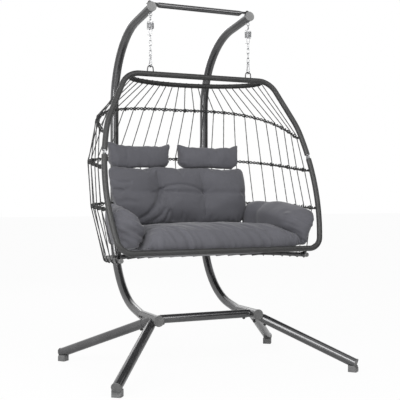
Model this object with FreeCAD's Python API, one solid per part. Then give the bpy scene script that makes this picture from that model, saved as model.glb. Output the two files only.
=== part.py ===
import FreeCAD, Part
import math
import os

# Hanging egg chair for two, on its own stand. Millimetres, +Z up, the front faces -Y.
# The origin is on the ground, at the middle of the chair's outline seen from above.

V = FreeCAD.Vector

# Running gap between pieces that touch or nest
GAP = 0.3

# Stand tube
TUBE_R = 25.0
TUBE_WALL = 1.5
TUBE_SIDES = 10
UPRIGHT_X = 295.0
UPRIGHT_BACK_Y = 547.0
UPRIGHT_TIP_Y = -55.0
UPRIGHT_JOINT_Z = 950.0
TOP_BEND_R = 437.0
TOP_BEND_Z = 1466.0
TOP_RUN_DEG = 8.6
BOTTOM_BEND_R = 431.0
BOTTOM_BEND_Z = 716.0
BOTTOM_RUN_DEG = 10.8
BOTTOM_RUN = 91.0
LAST_BEND_R = 200.0
SPIGOT_LENGTH = 60.0
SPIGOT_STEP = 1.0
BEND_STEPS = 7
LAST_BEND_STEPS = 1
SMALL_SIDES = 8

# Hubs
HUB_R = 27.0
HUB_WALL = 1.7
HUB_FRONT_Y = -160.0
HUB_REAR_Y = 68.0
UPRIGHT_FOOT_Y = 8.0
LEG_APEX_Y = -90.0
NECK_WALL = 2.0

# Legs and feet
LEG_START = 70.0
LEG_PLUG = 60.0
FOOT_X = 663.0
FOOT_FRONT_Y = -551.0
FOOT_REAR_Y = 387.0
LEG_END_Z = 44.0
PAD_LENGTH = 46.0
PAD_WIDTH = 48.0
PAD_HEIGHT = 34.0
PAD_CORNER = 5.0
PAD_SETBACK = 12.0

# Caps in the tube ends
CAP_RIM = 2.0
CAP_THICK = 5.0
CAP_EDGE = 1.5
CAP_PLUG = 14.0

# Crossbars
LOWER_BAR_R = 23.0
LOWER_BAR_NECK = 12.0
LOWER_BAR_PLUG = 40.0
UPPER_BAR_R = 14.5
UPPER_BAR_RISE = 21.0
UPPER_BAR_TAPER_X = 222.0
UPPER_BAR_FLAT_X = 258.0
UPPER_BAR_TONGUE = 14.0
UPPER_BAR_FLAT_WIDTH = 36.0
UPPER_BAR_FLAT_THICK = 3.6

# Hanging gear, top to bottom
HANG_Y = -37.0
EYE_WIRE_R = 2.25
EYE_RING_R = 8.75
EYE_SHANK_R = 4.0
EYE_SHANK_TOP = 40.0
NUT_R = 7.5
NUT_H = 6.5
NUT_BORE_GAP = 0.1
WASHER_R = 10.0
WASHER_H = 1.6
SMALL_LINK_R = 1.75
SMALL_LINK_LENGTH = 14.0
SMALL_LINK_BEND = 4.5
DRAWBAR_R = 2.0
UPPER_DRAWBAR_HALF = 9.0
LOWER_DRAWBAR_HALF = 11.0
DRAWBAR_HOOK = 17.0
DRAWBAR_APEX_R = 5.0
DRAWBAR_TAIL = 12.0
SPRING_WIRE_R = 2.5
SPRING_MEAN_R = 17.0
SPRING_TURNS = 4.5
SPRING_PITCH = 7.55
SPRING_STEPS = 10
SPRING_DROP = 9.6
SPRING_TO_APEX = 38.4
CHAIN_WIRE_R = 2.0
CHAIN_LINK_LENGTH = 31.1
CHAIN_LINK_BEND = 6.3
CHAIN_LINKS = 4
LINK_SIDES = 6
LINK_END_STEPS = 3
HOOK_WIRE_R = 3.5
HOOK_LENGTH = 63.0
HOOK_WIDE_R = 14.5
HOOK_NARROW_R = 7.5
HOOK_KNUCKLE = 7.0
HOOK_NOSE = 3.0
HOOK_EAR_SLOT = 4.2
GATE_R = 3.1
GATE_TONGUE = 3.8
GATE_PIN_R = 1.2
GATE_PIN_GAP = 0.05
LUG_WIRE_R = 3.25
LUG_WIDTH = 31.5
LUG_RISE = 45.3
GATE_BAR_START = 2.5

# Basket loop, drawn in its own plane: across is x, up the slope is s
LOOP_TILT_DEG = 18.16
TOP_BAR_FORWARD = 5.0
LOOP_R = 15.0
LOOP_TUBE_R = 12.5
LOOP_TUBE_WALL = 2.0
LOOP_SIDES = 8
LOOP_BOTTOM_HALF = 507.5
LOOP_CORNER_R = 77.0
LOOP_CORNER_DEG = 78.0
LOOP_SIDE_R = 1353.0
LOOP_SIDE_DEG = 103.7
LOOP_SHOULDER_R = 424.0
LOOP_SHOULDER_DEG = 116.0
LOOP_SLOPE = 190.0
LOOP_TOP_CORNER_R = 112.0
LEAST_STEP = 1.0

# Hinge in each side of the loop
HINGE_S = 527.0
HINGE_TUBE_END = 14.0
HINGE_WRAP_END = 18.0
HINGE_PIN_R = 4.0
HINGE_PIN_GAP = 0.05
HINGE_HEAD_R = 6.5
HINGE_HEAD_H = 2.5
HINGE_BLADE = 6.0
HINGE_EAR = 3.5
HINGE_WIDTH = 20.0
HINGE_PLUG = 18.0
HINGE_FLANGE = 3.0

# Arcs and rails behind the loop: height over the loop's hinge, plan handles, depth at the back and slope
ARC_R = 8.0
ARC_WALL = 1.5
ARC_SIDES = 6
ARC_STEPS = 8
EYE_LUG_REACH = 38.0
EYE_LUG_OUTSET = 3.0
EYE_LUG_WAIST = 2.0
EYE_LUG_R = 8.0
EYE_LUG_HOLE_R = 3.6
EYE_LUG_THICK = 4.0
UPPER_ARC = {"over_hinge": 113.25, "handle_x": 600.0, "handle_y": 300.0, "back_x": 150.0, "back_y": 240.0,
             "rise": 0.481}
MIDDLE_ARC = {"over_hinge": -73.75, "handle_x": 555.0, "handle_y": 40.0, "back_x": 727.0, "back_y": 395.0,
              "rise": 0.132}
LOWER_ARC = {"over_hinge": -284.75, "handle_x": 600.0, "handle_y": 10.0, "back_x": 650.0, "back_y": 355.0,
             "rise": 0.047}
TOP_RAIL_R = 13.0
TOP_RAIL_WALL = 1.5
TOP_RAIL_END_X = 386.0
TOP_RAIL_GAP = 31.0
TOP_RAIL_DROP = 8.0
TOP_RAIL = {"handle_x": 400.0, "handle_y": 120.0, "back_x": 200.0, "back_y": 200.0, "rise": -0.04}
SEAT_RAIL_R = 12.5
SEAT_RAIL_WALL = 1.5
SEAT_RAIL_SIDES = 8
SEAT_RAIL_END_X = 540.0
SEAT_RAIL_BEHIND = 82.0
SEAT_RAIL_UNDER = 41.0
RAIL_CAP_THICK = 3.0
RAIL_CAP_PLUG = 12.0
SEAT_RAIL = {"handle_x": 554.0, "handle_y": 74.0, "back_x": 504.0, "back_y": 298.0, "rise": -0.033}
BRACKET_ROOT = 34.0
BRACKET_THICK = 4.0
BRACKET_WIDTH = 18.0
BRACKET_SETBACK = 30.0
BRACKET_FOOT = 24.0

# Net of ropes
ROPE_R = 2.4
ROPE_SIDES = 4
ROPE_COUNT = 26
ROPE_END = 6.0
ROPE_GAP = 0.45
SEAT_ROPE_REACH_X = 450.0

# Cushions. Heights of back, arms and pillows are over the middle of the loop's bottom bar, and the seat's
# front edge lies behind it
SEAT_STATIONS = ((0, 268, 30, 0), (150, 262, 28, 0), (290, 218, 22, 3), (385, 150, 14, 10))
SEAT_END = (440, 72, 4, 30)
SEAT_FRONT_SET = 22.0
SEAT_FRONT_H = 117.0
SEAT_REAR_H = 158.0
SEAT_LEAN = 8.0
SEAT_FRONT_SWELL = 12.0
SEAT_REAR_SWELL = 6.0
BACK_STATIONS = ((0, 176, 346.7, 2, 0), (76, 172, 340, 4, 0), (138, 170, 334, 36, 0), (200, 168, 325, 4, 0),
                 (300, 162, 298, 0, 0), (378, 176, 262, 0, 4))
BACK_END = (415, 196, 246, 0, 22)
BACK_BOTTOM = 125.0
BACK_TUFT = 307.0
BACK_TOP = 435.0
BACK_LEAN = 52.0
BACK_HEEL = 22.0
BACK_FOOT_IN = 20.0
BACK_WAIST_IN = 6.0
BACK_LOW_SWELL = 22.0
BACK_HIGH_SWELL = 18.0
BACK_TOP_SWELL = 12.0
BACK_UNDER_SWELL = 6.0
BACK_TOP_TILT = 4.0
BACK_HEEL_RISE = 8.0
ARM_STATIONS = ((-262, 584, 520, 219, 4), (-120, 586, 516, 229, 0), (20, 566, 500, 229, 0),
                (120, 528, 470, 223, 2))
ARM_FRONT = (-292, 560, 505, 177, 18)
ARM_REAR = (158, 498, 466, 193, 8)
ARM_INNER_X = SEAT_END[0] + GAP
ARM_BOTTOM = 9.0
ARM_CROWN = 24.0
ARM_INNER_EDGE = 26.0
ARM_OUTER_EDGE = 30.0
ARM_SWELL = 4.0
PILLOW_INNER_X = 36.0
PILLOW_OUTER_X = 404.0
PILLOW_BOTTOM = 449.0
PILLOW_TOP = 569.0
PILLOW_BACK_Y = 338.0
PILLOW_END_BACK_Y = 306.0
PILLOW_THICK = 84.0
PILLOW_STATIONS = ((0.0, 20.0), (0.06, 9.0), (0.2, 2.0), (0.5, 0.0), (0.8, 2.0), (0.94, 9.0), (1.0, 20.0))


def sin_deg(angle):
    return math.sin(math.radians(angle))


def cos_deg(angle):
    return math.cos(math.radians(angle))


def arc_in_plane(centre, radius, start, end, steps):
    """Points of a circular arc, as pairs, without its first point."""
    angles = [start + (end - start) * i / steps for i in range(1, steps + 1)]
    return [(centre[0] + radius * cos_deg(a), centre[1] + radius * sin_deg(a)) for a in angles]


def half_turn(centre, radius, start, steps):
    """Points of a half circle in flat facets. An odd count of steps puts a facet on the crown."""
    grow = 1.0 / cos_deg(90.0 / steps) if steps % 2 else 1.0
    points = []
    for i in range(steps + 1):
        reach = radius * grow if 0 < i < steps else radius
        angle = start + 180.0 * i / steps
        points.append((centre[0] + reach * cos_deg(angle), centre[1] + reach * sin_deg(angle)))
    return points


def bezier(p0, p1, p2, p3, steps):
    """Points along a cubic curve in a plane, as pairs."""
    points = []
    for i in range(steps + 1):
        t = i / steps
        a, b, c, d = (1 - t) ** 3, 3 * t * (1 - t) ** 2, 3 * t * t * (1 - t), t ** 3
        points.append(tuple(a * p0[k] + b * p1[k] + c * p2[k] + d * p3[k] for k in (0, 1)))
    return points


def closed_solid(faces):
    """One solid bounded by flat faces that meet edge to edge."""
    shell = Part.makeShell(faces)
    shell.sewShape()
    solid = Part.makeSolid(shell)
    if solid.Volume < 0:
        solid.reverse()
    return solid


def side_directions(along, up, sides):
    """Unit vectors to the corners of a polygon square to a direction."""
    first = (up - along * up.dot(along)).normalize()
    second = along.cross(first)
    turns = [360.0 * (k + 0.5) / sides for k in range(sides)]
    return [first * cos_deg(t) + second * sin_deg(t) for t in turns]


def rings_along(points, radii, sides, up, closed):
    """Polygons round a line of points, each in the plane that halves the turn there."""
    count = len(points)
    pairs = count if closed else count - 1
    along = [(points[(i + 1) % count] - points[i]).normalize() for i in range(pairs)]
    spokes = side_directions(along[0], up, sides)
    rings = []
    for i, point in enumerate(points):
        before = along[i - 1] if (i > 0 or closed) else along[0]
        after = along[i] if i < pairs else along[-1]
        plane = (before + after).normalize()
        into = after if i == 0 else before
        ring = []
        for spoke in spokes:
            corner = spoke * radii[i]
            ring.append(point + corner - into * (corner.dot(plane) / into.dot(plane)))
        rings.append(ring)
        if i > 0 and i < pairs:
            turned = [(corner - point) - after * (corner - point).dot(after) for corner in ring]
            spokes = [t.normalize() for t in turned]
    return rings


def polygon_wire(ring):
    return Part.makePolygon(ring + [ring[0]])


def skin(rings, closed):
    """Flat quads between neighbouring polygons."""
    faces = []
    count = len(rings)
    for i in range(count if closed else count - 1):
        here, there = rings[i], rings[(i + 1) % count]
        for k in range(len(here)):
            n = (k + 1) % len(here)
            faces.append(Part.Face(Part.makePolygon([here[k], here[n], there[n], there[k], here[k]])))
    return faces


def rod(points, radius, sides, up=V(1, 0, 0), closed=False):
    """A round bar along a line of points, in flat facets. radius is one value, or one for each point."""
    radii = radius if isinstance(radius, list) else [radius] * len(points)
    rings = rings_along(points, radii, sides, up, closed)
    faces = skin(rings, closed)
    if not closed:
        faces += [Part.Face(polygon_wire(rings[0])), Part.Face(polygon_wire(rings[-1]))]
    return closed_solid(faces)


def tube(points, radius, wall, sides, up=V(1, 0, 0)):
    """A hollow bar along a line of points, open at both ends."""
    radii = radius if isinstance(radius, list) else [radius] * len(points)
    return rod(points, radii, sides, up).cut(rod(points, [r - wall for r in radii], sides, up))


def prism(start, end, radius, sides=TUBE_SIDES):
    """A straight bar of a few flat sides, always turned the same way for one direction."""
    along = (end - start).normalize()
    return rod([start, end], radius, sides, V(0, 0, 1) if abs(along.x) > 0.5 else V(1, 0, 0))


def cylinder(start, end, radius):
    """A true round, for pins and the holes that turn on them."""
    run = end - start
    return Part.makeCylinder(radius, run.Length, start, run)


def pipe(start, end, radius, wall):
    return prism(start, end, radius).cut(prism(start, end, radius - wall))


def mirrored(shape):
    """The same piece on the other side of the chair."""
    return shape.mirror(V(0, 0, 0), V(1, 0, 0))


def both_sides(shape):
    """A right-hand piece and its left-hand twin."""
    return [shape, mirrored(shape)]


def apothem(radius, sides):
    """Distance from the middle of a polygon to its flats."""
    return radius * math.cos(math.pi / sides)


def end_cap(seat, outward, tube_radius, plug_radius, up):
    """A moulded cap: a disc with a softened edge over the tube's end and a plug inside it."""
    rim = tube_radius + CAP_RIM
    places = [seat, seat + outward * (CAP_THICK - CAP_EDGE), seat + outward * CAP_THICK]
    disc = rod(places, [rim, rim, rim - CAP_EDGE], TUBE_SIDES, up)
    return disc.fuse(rod([seat - outward * CAP_PLUG, seat], plug_radius, TUBE_SIDES, up))


# Centre line of one upright, in the plane of its bends

TOP_BEND_Y = UPRIGHT_BACK_Y - TOP_BEND_R
BOTTOM_BEND_Y = UPRIGHT_BACK_Y - BOTTOM_BEND_R
TOP_RUN_START = (TOP_BEND_Y + TOP_BEND_R * sin_deg(TOP_RUN_DEG),
                 TOP_BEND_Z + TOP_BEND_R * cos_deg(TOP_RUN_DEG))
TIP_RUN = (TOP_RUN_START[0] - UPRIGHT_TIP_Y) / cos_deg(TOP_RUN_DEG)
TIP_Z = TOP_RUN_START[1] + TIP_RUN * sin_deg(TOP_RUN_DEG)
BOTTOM_RUN_START = (BOTTOM_BEND_Y + BOTTOM_BEND_R * sin_deg(BOTTOM_RUN_DEG),
                    BOTTOM_BEND_Z - BOTTOM_BEND_R * cos_deg(BOTTOM_RUN_DEG))
LAST_BEND_START = (BOTTOM_RUN_START[0] - BOTTOM_RUN * cos_deg(BOTTOM_RUN_DEG),
                   BOTTOM_RUN_START[1] - BOTTOM_RUN * sin_deg(BOTTOM_RUN_DEG))
LAST_BEND_CENTRE = (LAST_BEND_START[0] - LAST_BEND_R * sin_deg(BOTTOM_RUN_DEG),
                    LAST_BEND_START[1] + LAST_BEND_R * cos_deg(BOTTOM_RUN_DEG))
HUB_Z = LAST_BEND_CENTRE[1] - LAST_BEND_R


def upright_point(pair):
    return V(UPRIGHT_X, pair[0], pair[1])


def upright_upper_line():
    """From the joint behind the basket up to the tip."""
    line = [(UPRIGHT_BACK_Y, UPRIGHT_JOINT_Z), (UPRIGHT_BACK_Y, TOP_BEND_Z)]
    line += arc_in_plane((TOP_BEND_Y, TOP_BEND_Z), TOP_BEND_R, 0, 90 - TOP_RUN_DEG, BEND_STEPS)
    line.append((UPRIGHT_TIP_Y, TIP_Z))
    return [upright_point(p) for p in line]


def upright_lower_line():
    """From the top of the swaged spigot down and forward into the hub."""
    line = [(UPRIGHT_BACK_Y, UPRIGHT_JOINT_Z + SPIGOT_LENGTH), (UPRIGHT_BACK_Y, UPRIGHT_JOINT_Z - GAP),
            (UPRIGHT_BACK_Y, UPRIGHT_JOINT_Z - GAP - SPIGOT_STEP), (UPRIGHT_BACK_Y, BOTTOM_BEND_Z)]
    line += arc_in_plane((BOTTOM_BEND_Y, BOTTOM_BEND_Z), BOTTOM_BEND_R, 0, BOTTOM_RUN_DEG - 90, BEND_STEPS)
    line.append(LAST_BEND_START)
    line += arc_in_plane(LAST_BEND_CENTRE, LAST_BEND_R, BOTTOM_RUN_DEG - 90, -90, LAST_BEND_STEPS)
    line.append((UPRIGHT_FOOT_Y, HUB_Z))
    return [upright_point(p) for p in line]


# The upright's tip is tilted: pieces fixed there are drawn level and then turned with it

EYE_DROP = TUBE_R + GAP + 2 * EYE_RING_R + EYE_WIRE_R
BOLT_ON_AXIS = V(0, HANG_Y + EYE_DROP * sin_deg(TOP_RUN_DEG), 0)
BOLT_ON_AXIS.z = TIP_Z - (BOLT_ON_AXIS.y - UPRIGHT_TIP_Y) * math.tan(math.radians(TOP_RUN_DEG))
SWING_Z = BOLT_ON_AXIS.z - EYE_DROP * cos_deg(TOP_RUN_DEG)


def at_tip(shape):
    """Turn a piece drawn round the eye bolt's place and carry it there."""
    placed = shape.copy()
    placed.rotate(V(0, 0, 0), V(1, 0, 0), -TOP_RUN_DEG)
    placed.translate(BOLT_ON_AXIS)
    return placed


def tip_hole():
    """Where the eye bolt's shank goes through the upright's tip."""
    middle, reach = V(UPRIGHT_X, 0, 0), V(0, 0, 2 * TUBE_R)
    return at_tip(prism(middle - reach, middle + reach, EYE_SHANK_R + 2 * GAP, SMALL_SIDES))


def upright_upper():
    return tube(upright_upper_line(), TUBE_R, TUBE_WALL, TUBE_SIDES).cut(tip_hole())


def upright_lower():
    line = upright_lower_line()
    spigot = TUBE_R - TUBE_WALL - GAP
    return tube(line, [spigot, spigot] + [TUBE_R] * (len(line) - 2), TUBE_WALL, TUBE_SIDES)


# Hub, legs, feet and lower crossbar

LEG_APEX = V(UPRIGHT_X, LEG_APEX_Y, HUB_Z)
LEG_ENDS = {"front": V(FOOT_X, FOOT_FRONT_Y, LEG_END_Z), "rear": V(FOOT_X, FOOT_REAR_Y, LEG_END_Z)}
LOWER_BAR_END_X = UPRIGHT_X - HUB_R - LOWER_BAR_NECK
NECK_R = TUBE_R - TUBE_WALL - GAP
BAR_NECK_R = LOWER_BAR_R - TUBE_WALL - GAP


def leg_direction(end):
    return (LEG_ENDS[end] - LEG_APEX).normalize()


def hub():
    """The tube that takes the upright, with a neck for each leg and one for the crossbar."""
    front, rear = V(UPRIGHT_X, HUB_FRONT_Y, HUB_Z), V(UPRIGHT_X, HUB_REAR_Y, HUB_Z)
    arms = [(front, rear, HUB_R, HUB_WALL)]
    for end in ("front", "rear"):
        arms.append((LEG_APEX, LEG_APEX + leg_direction(end) * (LEG_START + LEG_PLUG), NECK_R, NECK_WALL))
    arms.append((LEG_APEX, V(LOWER_BAR_END_X - LOWER_BAR_PLUG, LEG_APEX_Y, HUB_Z), BAR_NECK_R, NECK_WALL))
    shape = prism(*arms[0][:3])
    for start, tip, radius, wall in arms[1:]:
        shape = shape.fuse(prism(start, tip, radius))
    for start, tip, radius, wall in arms:
        shape = shape.cut(prism(start, tip, radius - wall))
    return shape


def leg(end):
    return pipe(LEG_APEX + leg_direction(end) * LEG_START, LEG_ENDS[end], TUBE_R, TUBE_WALL)


def foot_pad(end):
    """A block under the leg's end, hollowed on top to hold the tube."""
    along = leg_direction(end)
    heading = V(along.x, along.y, 0).normalize()
    block = Part.makeBox(PAD_LENGTH, PAD_WIDTH, PAD_HEIGHT, V(-PAD_LENGTH / 2, -PAD_WIDTH / 2, 0))
    corners = [e for e in block.Edges if abs(e.tangentAt(e.FirstParameter).z) > 0.9]
    block = block.makeChamfer(PAD_CORNER, corners)
    block.rotate(V(0, 0, 0), V(0, 0, 1), math.degrees(math.atan2(heading.y, heading.x)))
    middle = LEG_ENDS[end] - heading * PAD_SETBACK
    block.translate(V(middle.x, middle.y, 0))
    beyond = LEG_ENDS[end] + along * PAD_LENGTH
    block = block.cut(prism(LEG_APEX, beyond, TUBE_R + GAP))
    return block.cut(prism(LEG_ENDS[end] - along * GAP, beyond, TUBE_R + CAP_RIM + GAP))


def leg_cap(end):
    return end_cap(LEG_ENDS[end], leg_direction(end), TUBE_R, TUBE_R - TUBE_WALL - GAP, V(0, 0, 1))


def upright_cap():
    toward_tip = V(0, -cos_deg(TOP_RUN_DEG), sin_deg(TOP_RUN_DEG))
    return end_cap(upright_upper_line()[-1], toward_tip, TUBE_R, TUBE_R - TUBE_WALL - GAP, V(1, 0, 0))


def hub_cap():
    return end_cap(V(UPRIGHT_X, HUB_FRONT_Y, HUB_Z), V(0, -1, 0), HUB_R, HUB_R - HUB_WALL - GAP, V(1, 0, 0))


def lower_crossbar():
    end = V(LOWER_BAR_END_X, LEG_APEX_Y, HUB_Z)
    return pipe(V(-end.x, end.y, end.z), end, LOWER_BAR_R, TUBE_WALL)


def bar_section(x, height, half_width, half_thick):
    """The upper crossbar's outline at one place: a regular polygon, pressed flat towards the ends."""
    turns = [360.0 * (k + 0.5) / TUBE_SIDES for k in range(TUBE_SIDES)]
    return [V(x, half_width * cos_deg(t), height + half_thick * sin_deg(t)) for t in turns]


def upper_crossbar():
    """A tube whose squashed ends lie on the uprights and take the eye bolts."""
    flat = UPPER_BAR_FLAT_THICK / 2
    pressed = (TUBE_R + GAP + flat, UPPER_BAR_FLAT_WIDTH / 2, flat / cos_deg(180.0 / TUBE_SIDES))
    half = [(UPPER_BAR_TAPER_X, UPPER_BAR_RISE, UPPER_BAR_R, UPPER_BAR_R), (UPPER_BAR_FLAT_X,) + pressed,
            (UPRIGHT_X + UPPER_BAR_TONGUE,) + pressed]
    rings = [bar_section(-x, *rest) for x, *rest in reversed(half)]
    rings += [bar_section(x, *rest) for x, *rest in half]
    faces = [Part.Face(polygon_wire(rings[0])), Part.Face(polygon_wire(rings[-1]))]
    for here, there in zip(rings, rings[1:]):
        for k in range(TUBE_SIDES):
            n = (k + 1) % TUBE_SIDES
            faces += [Part.Face(polygon_wire([here[k], here[n], there[n]])),
                      Part.Face(polygon_wire([here[k], there[n], there[k]]))]
    shape = closed_solid(faces).removeSplitter()
    for x in (UPRIGHT_X, -UPRIGHT_X):
        shape = shape.cut(prism(V(x, 0, 0), V(x, 0, 2 * TUBE_R), EYE_SHANK_R + 2 * GAP, SMALL_SIDES))
    return at_tip(shape)


# Hanging gear on the right-hand side, from the eye bolt down to the basket


def eye_bolt():
    """A ring under the upright on a shank that goes up through it and the crossbar's tongue."""
    middle = -(TUBE_R + GAP + EYE_RING_R + EYE_WIRE_R)
    turns = [360.0 * i / SMALL_SIDES for i in range(SMALL_SIDES)]
    ring = [V(UPRIGHT_X + EYE_RING_R * sin_deg(t), 0, middle + EYE_RING_R * cos_deg(t)) for t in turns]
    shape = rod(ring, EYE_WIRE_R, LINK_SIDES, V(0, 1, 0), closed=True)
    foot, head = V(UPRIGHT_X, 0, middle + EYE_RING_R), V(UPRIGHT_X, 0, EYE_SHANK_TOP)
    return at_tip(shape.fuse(prism(foot, head, EYE_SHANK_R, SMALL_SIDES)))


def eye_nut():
    """The nut and washer on top of the crossbar's tongue."""
    seat = TUBE_R + GAP + UPPER_BAR_FLAT_THICK + GAP
    turns = [60.0 * k for k in range(6)]
    corners = [V(UPRIGHT_X + NUT_R * cos_deg(t), NUT_R * sin_deg(t), seat + WASHER_H) for t in turns]
    nut = Part.Face(polygon_wire(corners)).extrude(V(0, 0, NUT_H))
    washer = prism(V(UPRIGHT_X, 0, seat), V(UPRIGHT_X, 0, seat + WASHER_H), WASHER_R)
    top = V(UPRIGHT_X, 0, seat + WASHER_H + 2 * NUT_H)
    bore = prism(V(UPRIGHT_X, 0, seat - GAP), top, EYE_SHANK_R + NUT_BORE_GAP, SMALL_SIDES)
    return at_tip(nut.fuse(washer).cut(bore))


def link(top, length, bend, wire, across):
    """One closed chain link hanging from a height, lying in the plane of Z and a given direction."""
    outline = half_turn((0, top - bend), bend, 0, LINK_END_STEPS)
    outline += half_turn((0, top - length + bend), bend, 180, LINK_END_STEPS)
    points = [side_point(across, *p) for p in outline]
    return rod(points, wire, LINK_SIDES, across.cross(V(0, 0, 1)), closed=True)


ACROSS_X = V(1, 0, 0)
ACROSS_Y = V(0, 1, 0)
SMALL_STEP = 2 * SMALL_LINK_R + GAP
TOP_LINK_TOP = SWING_Z + EYE_WIRE_R + SMALL_LINK_R + GAP
SWAY_Z = TOP_LINK_TOP - SMALL_LINK_LENGTH
JOINING_LINK_TOP = SWAY_Z + SMALL_STEP
JOINING_LINK_BOTTOM = JOINING_LINK_TOP - SMALL_LINK_LENGTH
UPPER_DRAWBAR_TOP = JOINING_LINK_BOTTOM + SMALL_LINK_R + DRAWBAR_R + GAP
SPRING_RISE = SPRING_TURNS * SPRING_PITCH
SPRING_TOP_Z = UPPER_DRAWBAR_TOP - UPPER_DRAWBAR_HALF - DRAWBAR_R + GAP - SPRING_DROP + SPRING_WIRE_R
SPRING_FOOT_Z = SPRING_TOP_Z - SPRING_RISE
LOWER_APEX_Z = SPRING_FOOT_Z - SPRING_TO_APEX
CHAIN_STEP = CHAIN_LINK_LENGTH - 2 * CHAIN_WIRE_R - GAP
CHAIN_TOP = LOWER_APEX_Z + DRAWBAR_R + CHAIN_WIRE_R + GAP
CHAIN_BOTTOM = CHAIN_TOP - CHAIN_LINK_LENGTH - (CHAIN_LINKS - 1) * CHAIN_STEP
HOOK_TOP = CHAIN_BOTTOM + CHAIN_WIRE_R + HOOK_WIRE_R + GAP
HOOK_BOTTOM = HOOK_TOP - HOOK_LENGTH
PITCH_Z = HOOK_BOTTOM + HOOK_WIRE_R + LUG_WIRE_R + GAP


def side_point(across, out, z):
    return V(UPRIGHT_X, HANG_Y, z) + across * out


def upper_drawbar():
    """A staple through the spring: its crown hangs from the links, its feet carry the lowest coil."""
    quarter_turn = SPRING_PITCH / 4
    foot = SPRING_FOOT_Z + quarter_turn - SPRING_WIRE_R - DRAWBAR_R - GAP
    half, middle = UPPER_DRAWBAR_HALF, UPPER_DRAWBAR_TOP - UPPER_DRAWBAR_HALF
    line = [(DRAWBAR_HOOK, foot), (half, foot)] + half_turn((0, middle), half, 0, LINK_END_STEPS)
    line += [(-half, foot), (-DRAWBAR_HOOK, foot)]
    return rod([side_point(ACROSS_Y, *p) for p in line], DRAWBAR_R, LINK_SIDES, V(1, 0, 0))


def lower_drawbar():
    """A V through the spring: its arms lie on the highest coil, its apex pulls the chain."""
    head = SPRING_TOP_Z + SPRING_WIRE_R + DRAWBAR_R + GAP
    waist = SPRING_FOOT_Z - SPRING_WIRE_R
    middle = LOWER_APEX_Z + DRAWBAR_APEX_R
    line = [(-DRAWBAR_HOOK, head), (-LOWER_DRAWBAR_HALF, head), (-LOWER_DRAWBAR_HALF, waist)]
    line += half_turn((0, middle), DRAWBAR_APEX_R, 180, LINK_END_STEPS)
    line += [(LOWER_DRAWBAR_HALF, waist), (LOWER_DRAWBAR_HALF, head), (DRAWBAR_HOOK, head)]
    shape = rod([side_point(ACROSS_X, *p) for p in line], DRAWBAR_R, LINK_SIDES, V(0, 1, 0))
    tail = [side_point(ACROSS_X, -DRAWBAR_APEX_R - out, middle) for out in (0.0, DRAWBAR_TAIL)]
    return shape.fuse(rod(tail, DRAWBAR_R * 0.6, LINK_SIDES, V(0, 1, 0))).removeSplitter()


def spring_line():
    steps = int(SPRING_TURNS * SPRING_STEPS)
    return [V(UPRIGHT_X + SPRING_MEAN_R * cos_deg(360.0 * i / SPRING_STEPS),
              HANG_Y + SPRING_MEAN_R * sin_deg(360.0 * i / SPRING_STEPS),
              SPRING_FOOT_Z + SPRING_PITCH * i / SPRING_STEPS) for i in range(steps + 1)]


def spring():
    return rod(spring_line(), SPRING_WIRE_R, LINK_SIDES, V(0, 0, 1))


def least_spring_gap():
    """Smallest distance between the wire of one turn and the wire of the next."""
    points = spring_line()
    apart = [(points[j] - points[i]).Length
             for i in range(len(points)) for j in range(i + SPRING_STEPS // 2, len(points))]
    return min(apart) - 2 * SPRING_WIRE_R


def chain():
    """Four closed links, each square to the next."""
    links = []
    for i in range(CHAIN_LINKS):
        top, across = CHAIN_TOP - i * CHAIN_STEP, ACROSS_Y if i % 2 == 0 else ACROSS_X
        links.append(link(top, CHAIN_LINK_LENGTH, CHAIN_LINK_BEND, CHAIN_WIRE_R, across))
    return links


HOOK_WIDE_Z = HOOK_BOTTOM + HOOK_WIDE_R
HOOK_NARROW_Z = HOOK_TOP - HOOK_NARROW_R
HOOK_LEAN_DEG = math.degrees(math.asin((HOOK_WIDE_R - HOOK_NARROW_R) / (HOOK_NARROW_Z - HOOK_WIDE_Z)))
HOOK_FRONT_TOP = (-HOOK_NARROW_R * cos_deg(HOOK_LEAN_DEG),
                  HOOK_NARROW_Z + HOOK_NARROW_R * sin_deg(HOOK_LEAN_DEG))
HOOK_FRONT_LOW = (-HOOK_WIDE_R * cos_deg(HOOK_LEAN_DEG), HOOK_WIDE_Z + HOOK_WIDE_R * sin_deg(HOOK_LEAN_DEG))
GATE_HINGE = (HOOK_FRONT_TOP[0] - HOOK_KNUCKLE * sin_deg(HOOK_LEAN_DEG),
              HOOK_FRONT_TOP[1] - HOOK_KNUCKLE * cos_deg(HOOK_LEAN_DEG))
GATE_TIP = (HOOK_FRONT_LOW[0] + (HOOK_NOSE + GAP) * sin_deg(HOOK_LEAN_DEG),
            HOOK_FRONT_LOW[1] + (HOOK_NOSE + GAP) * cos_deg(HOOK_LEAN_DEG))


def hook_slot():
    """The slot between the hook's two ears, where the gate turns."""
    centre = side_point(ACROSS_Y, *GATE_HINGE)
    size = 2.4 * HOOK_WIRE_R
    return Part.makeBox(HOOK_EAR_SLOT, size, size, centre - V(HOOK_EAR_SLOT / 2, size / 2, size / 2))


def gate_pin_ends(half):
    centre = side_point(ACROSS_Y, *GATE_HINGE)
    return centre - V(half, 0, 0), centre + V(half, 0, 0)


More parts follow.
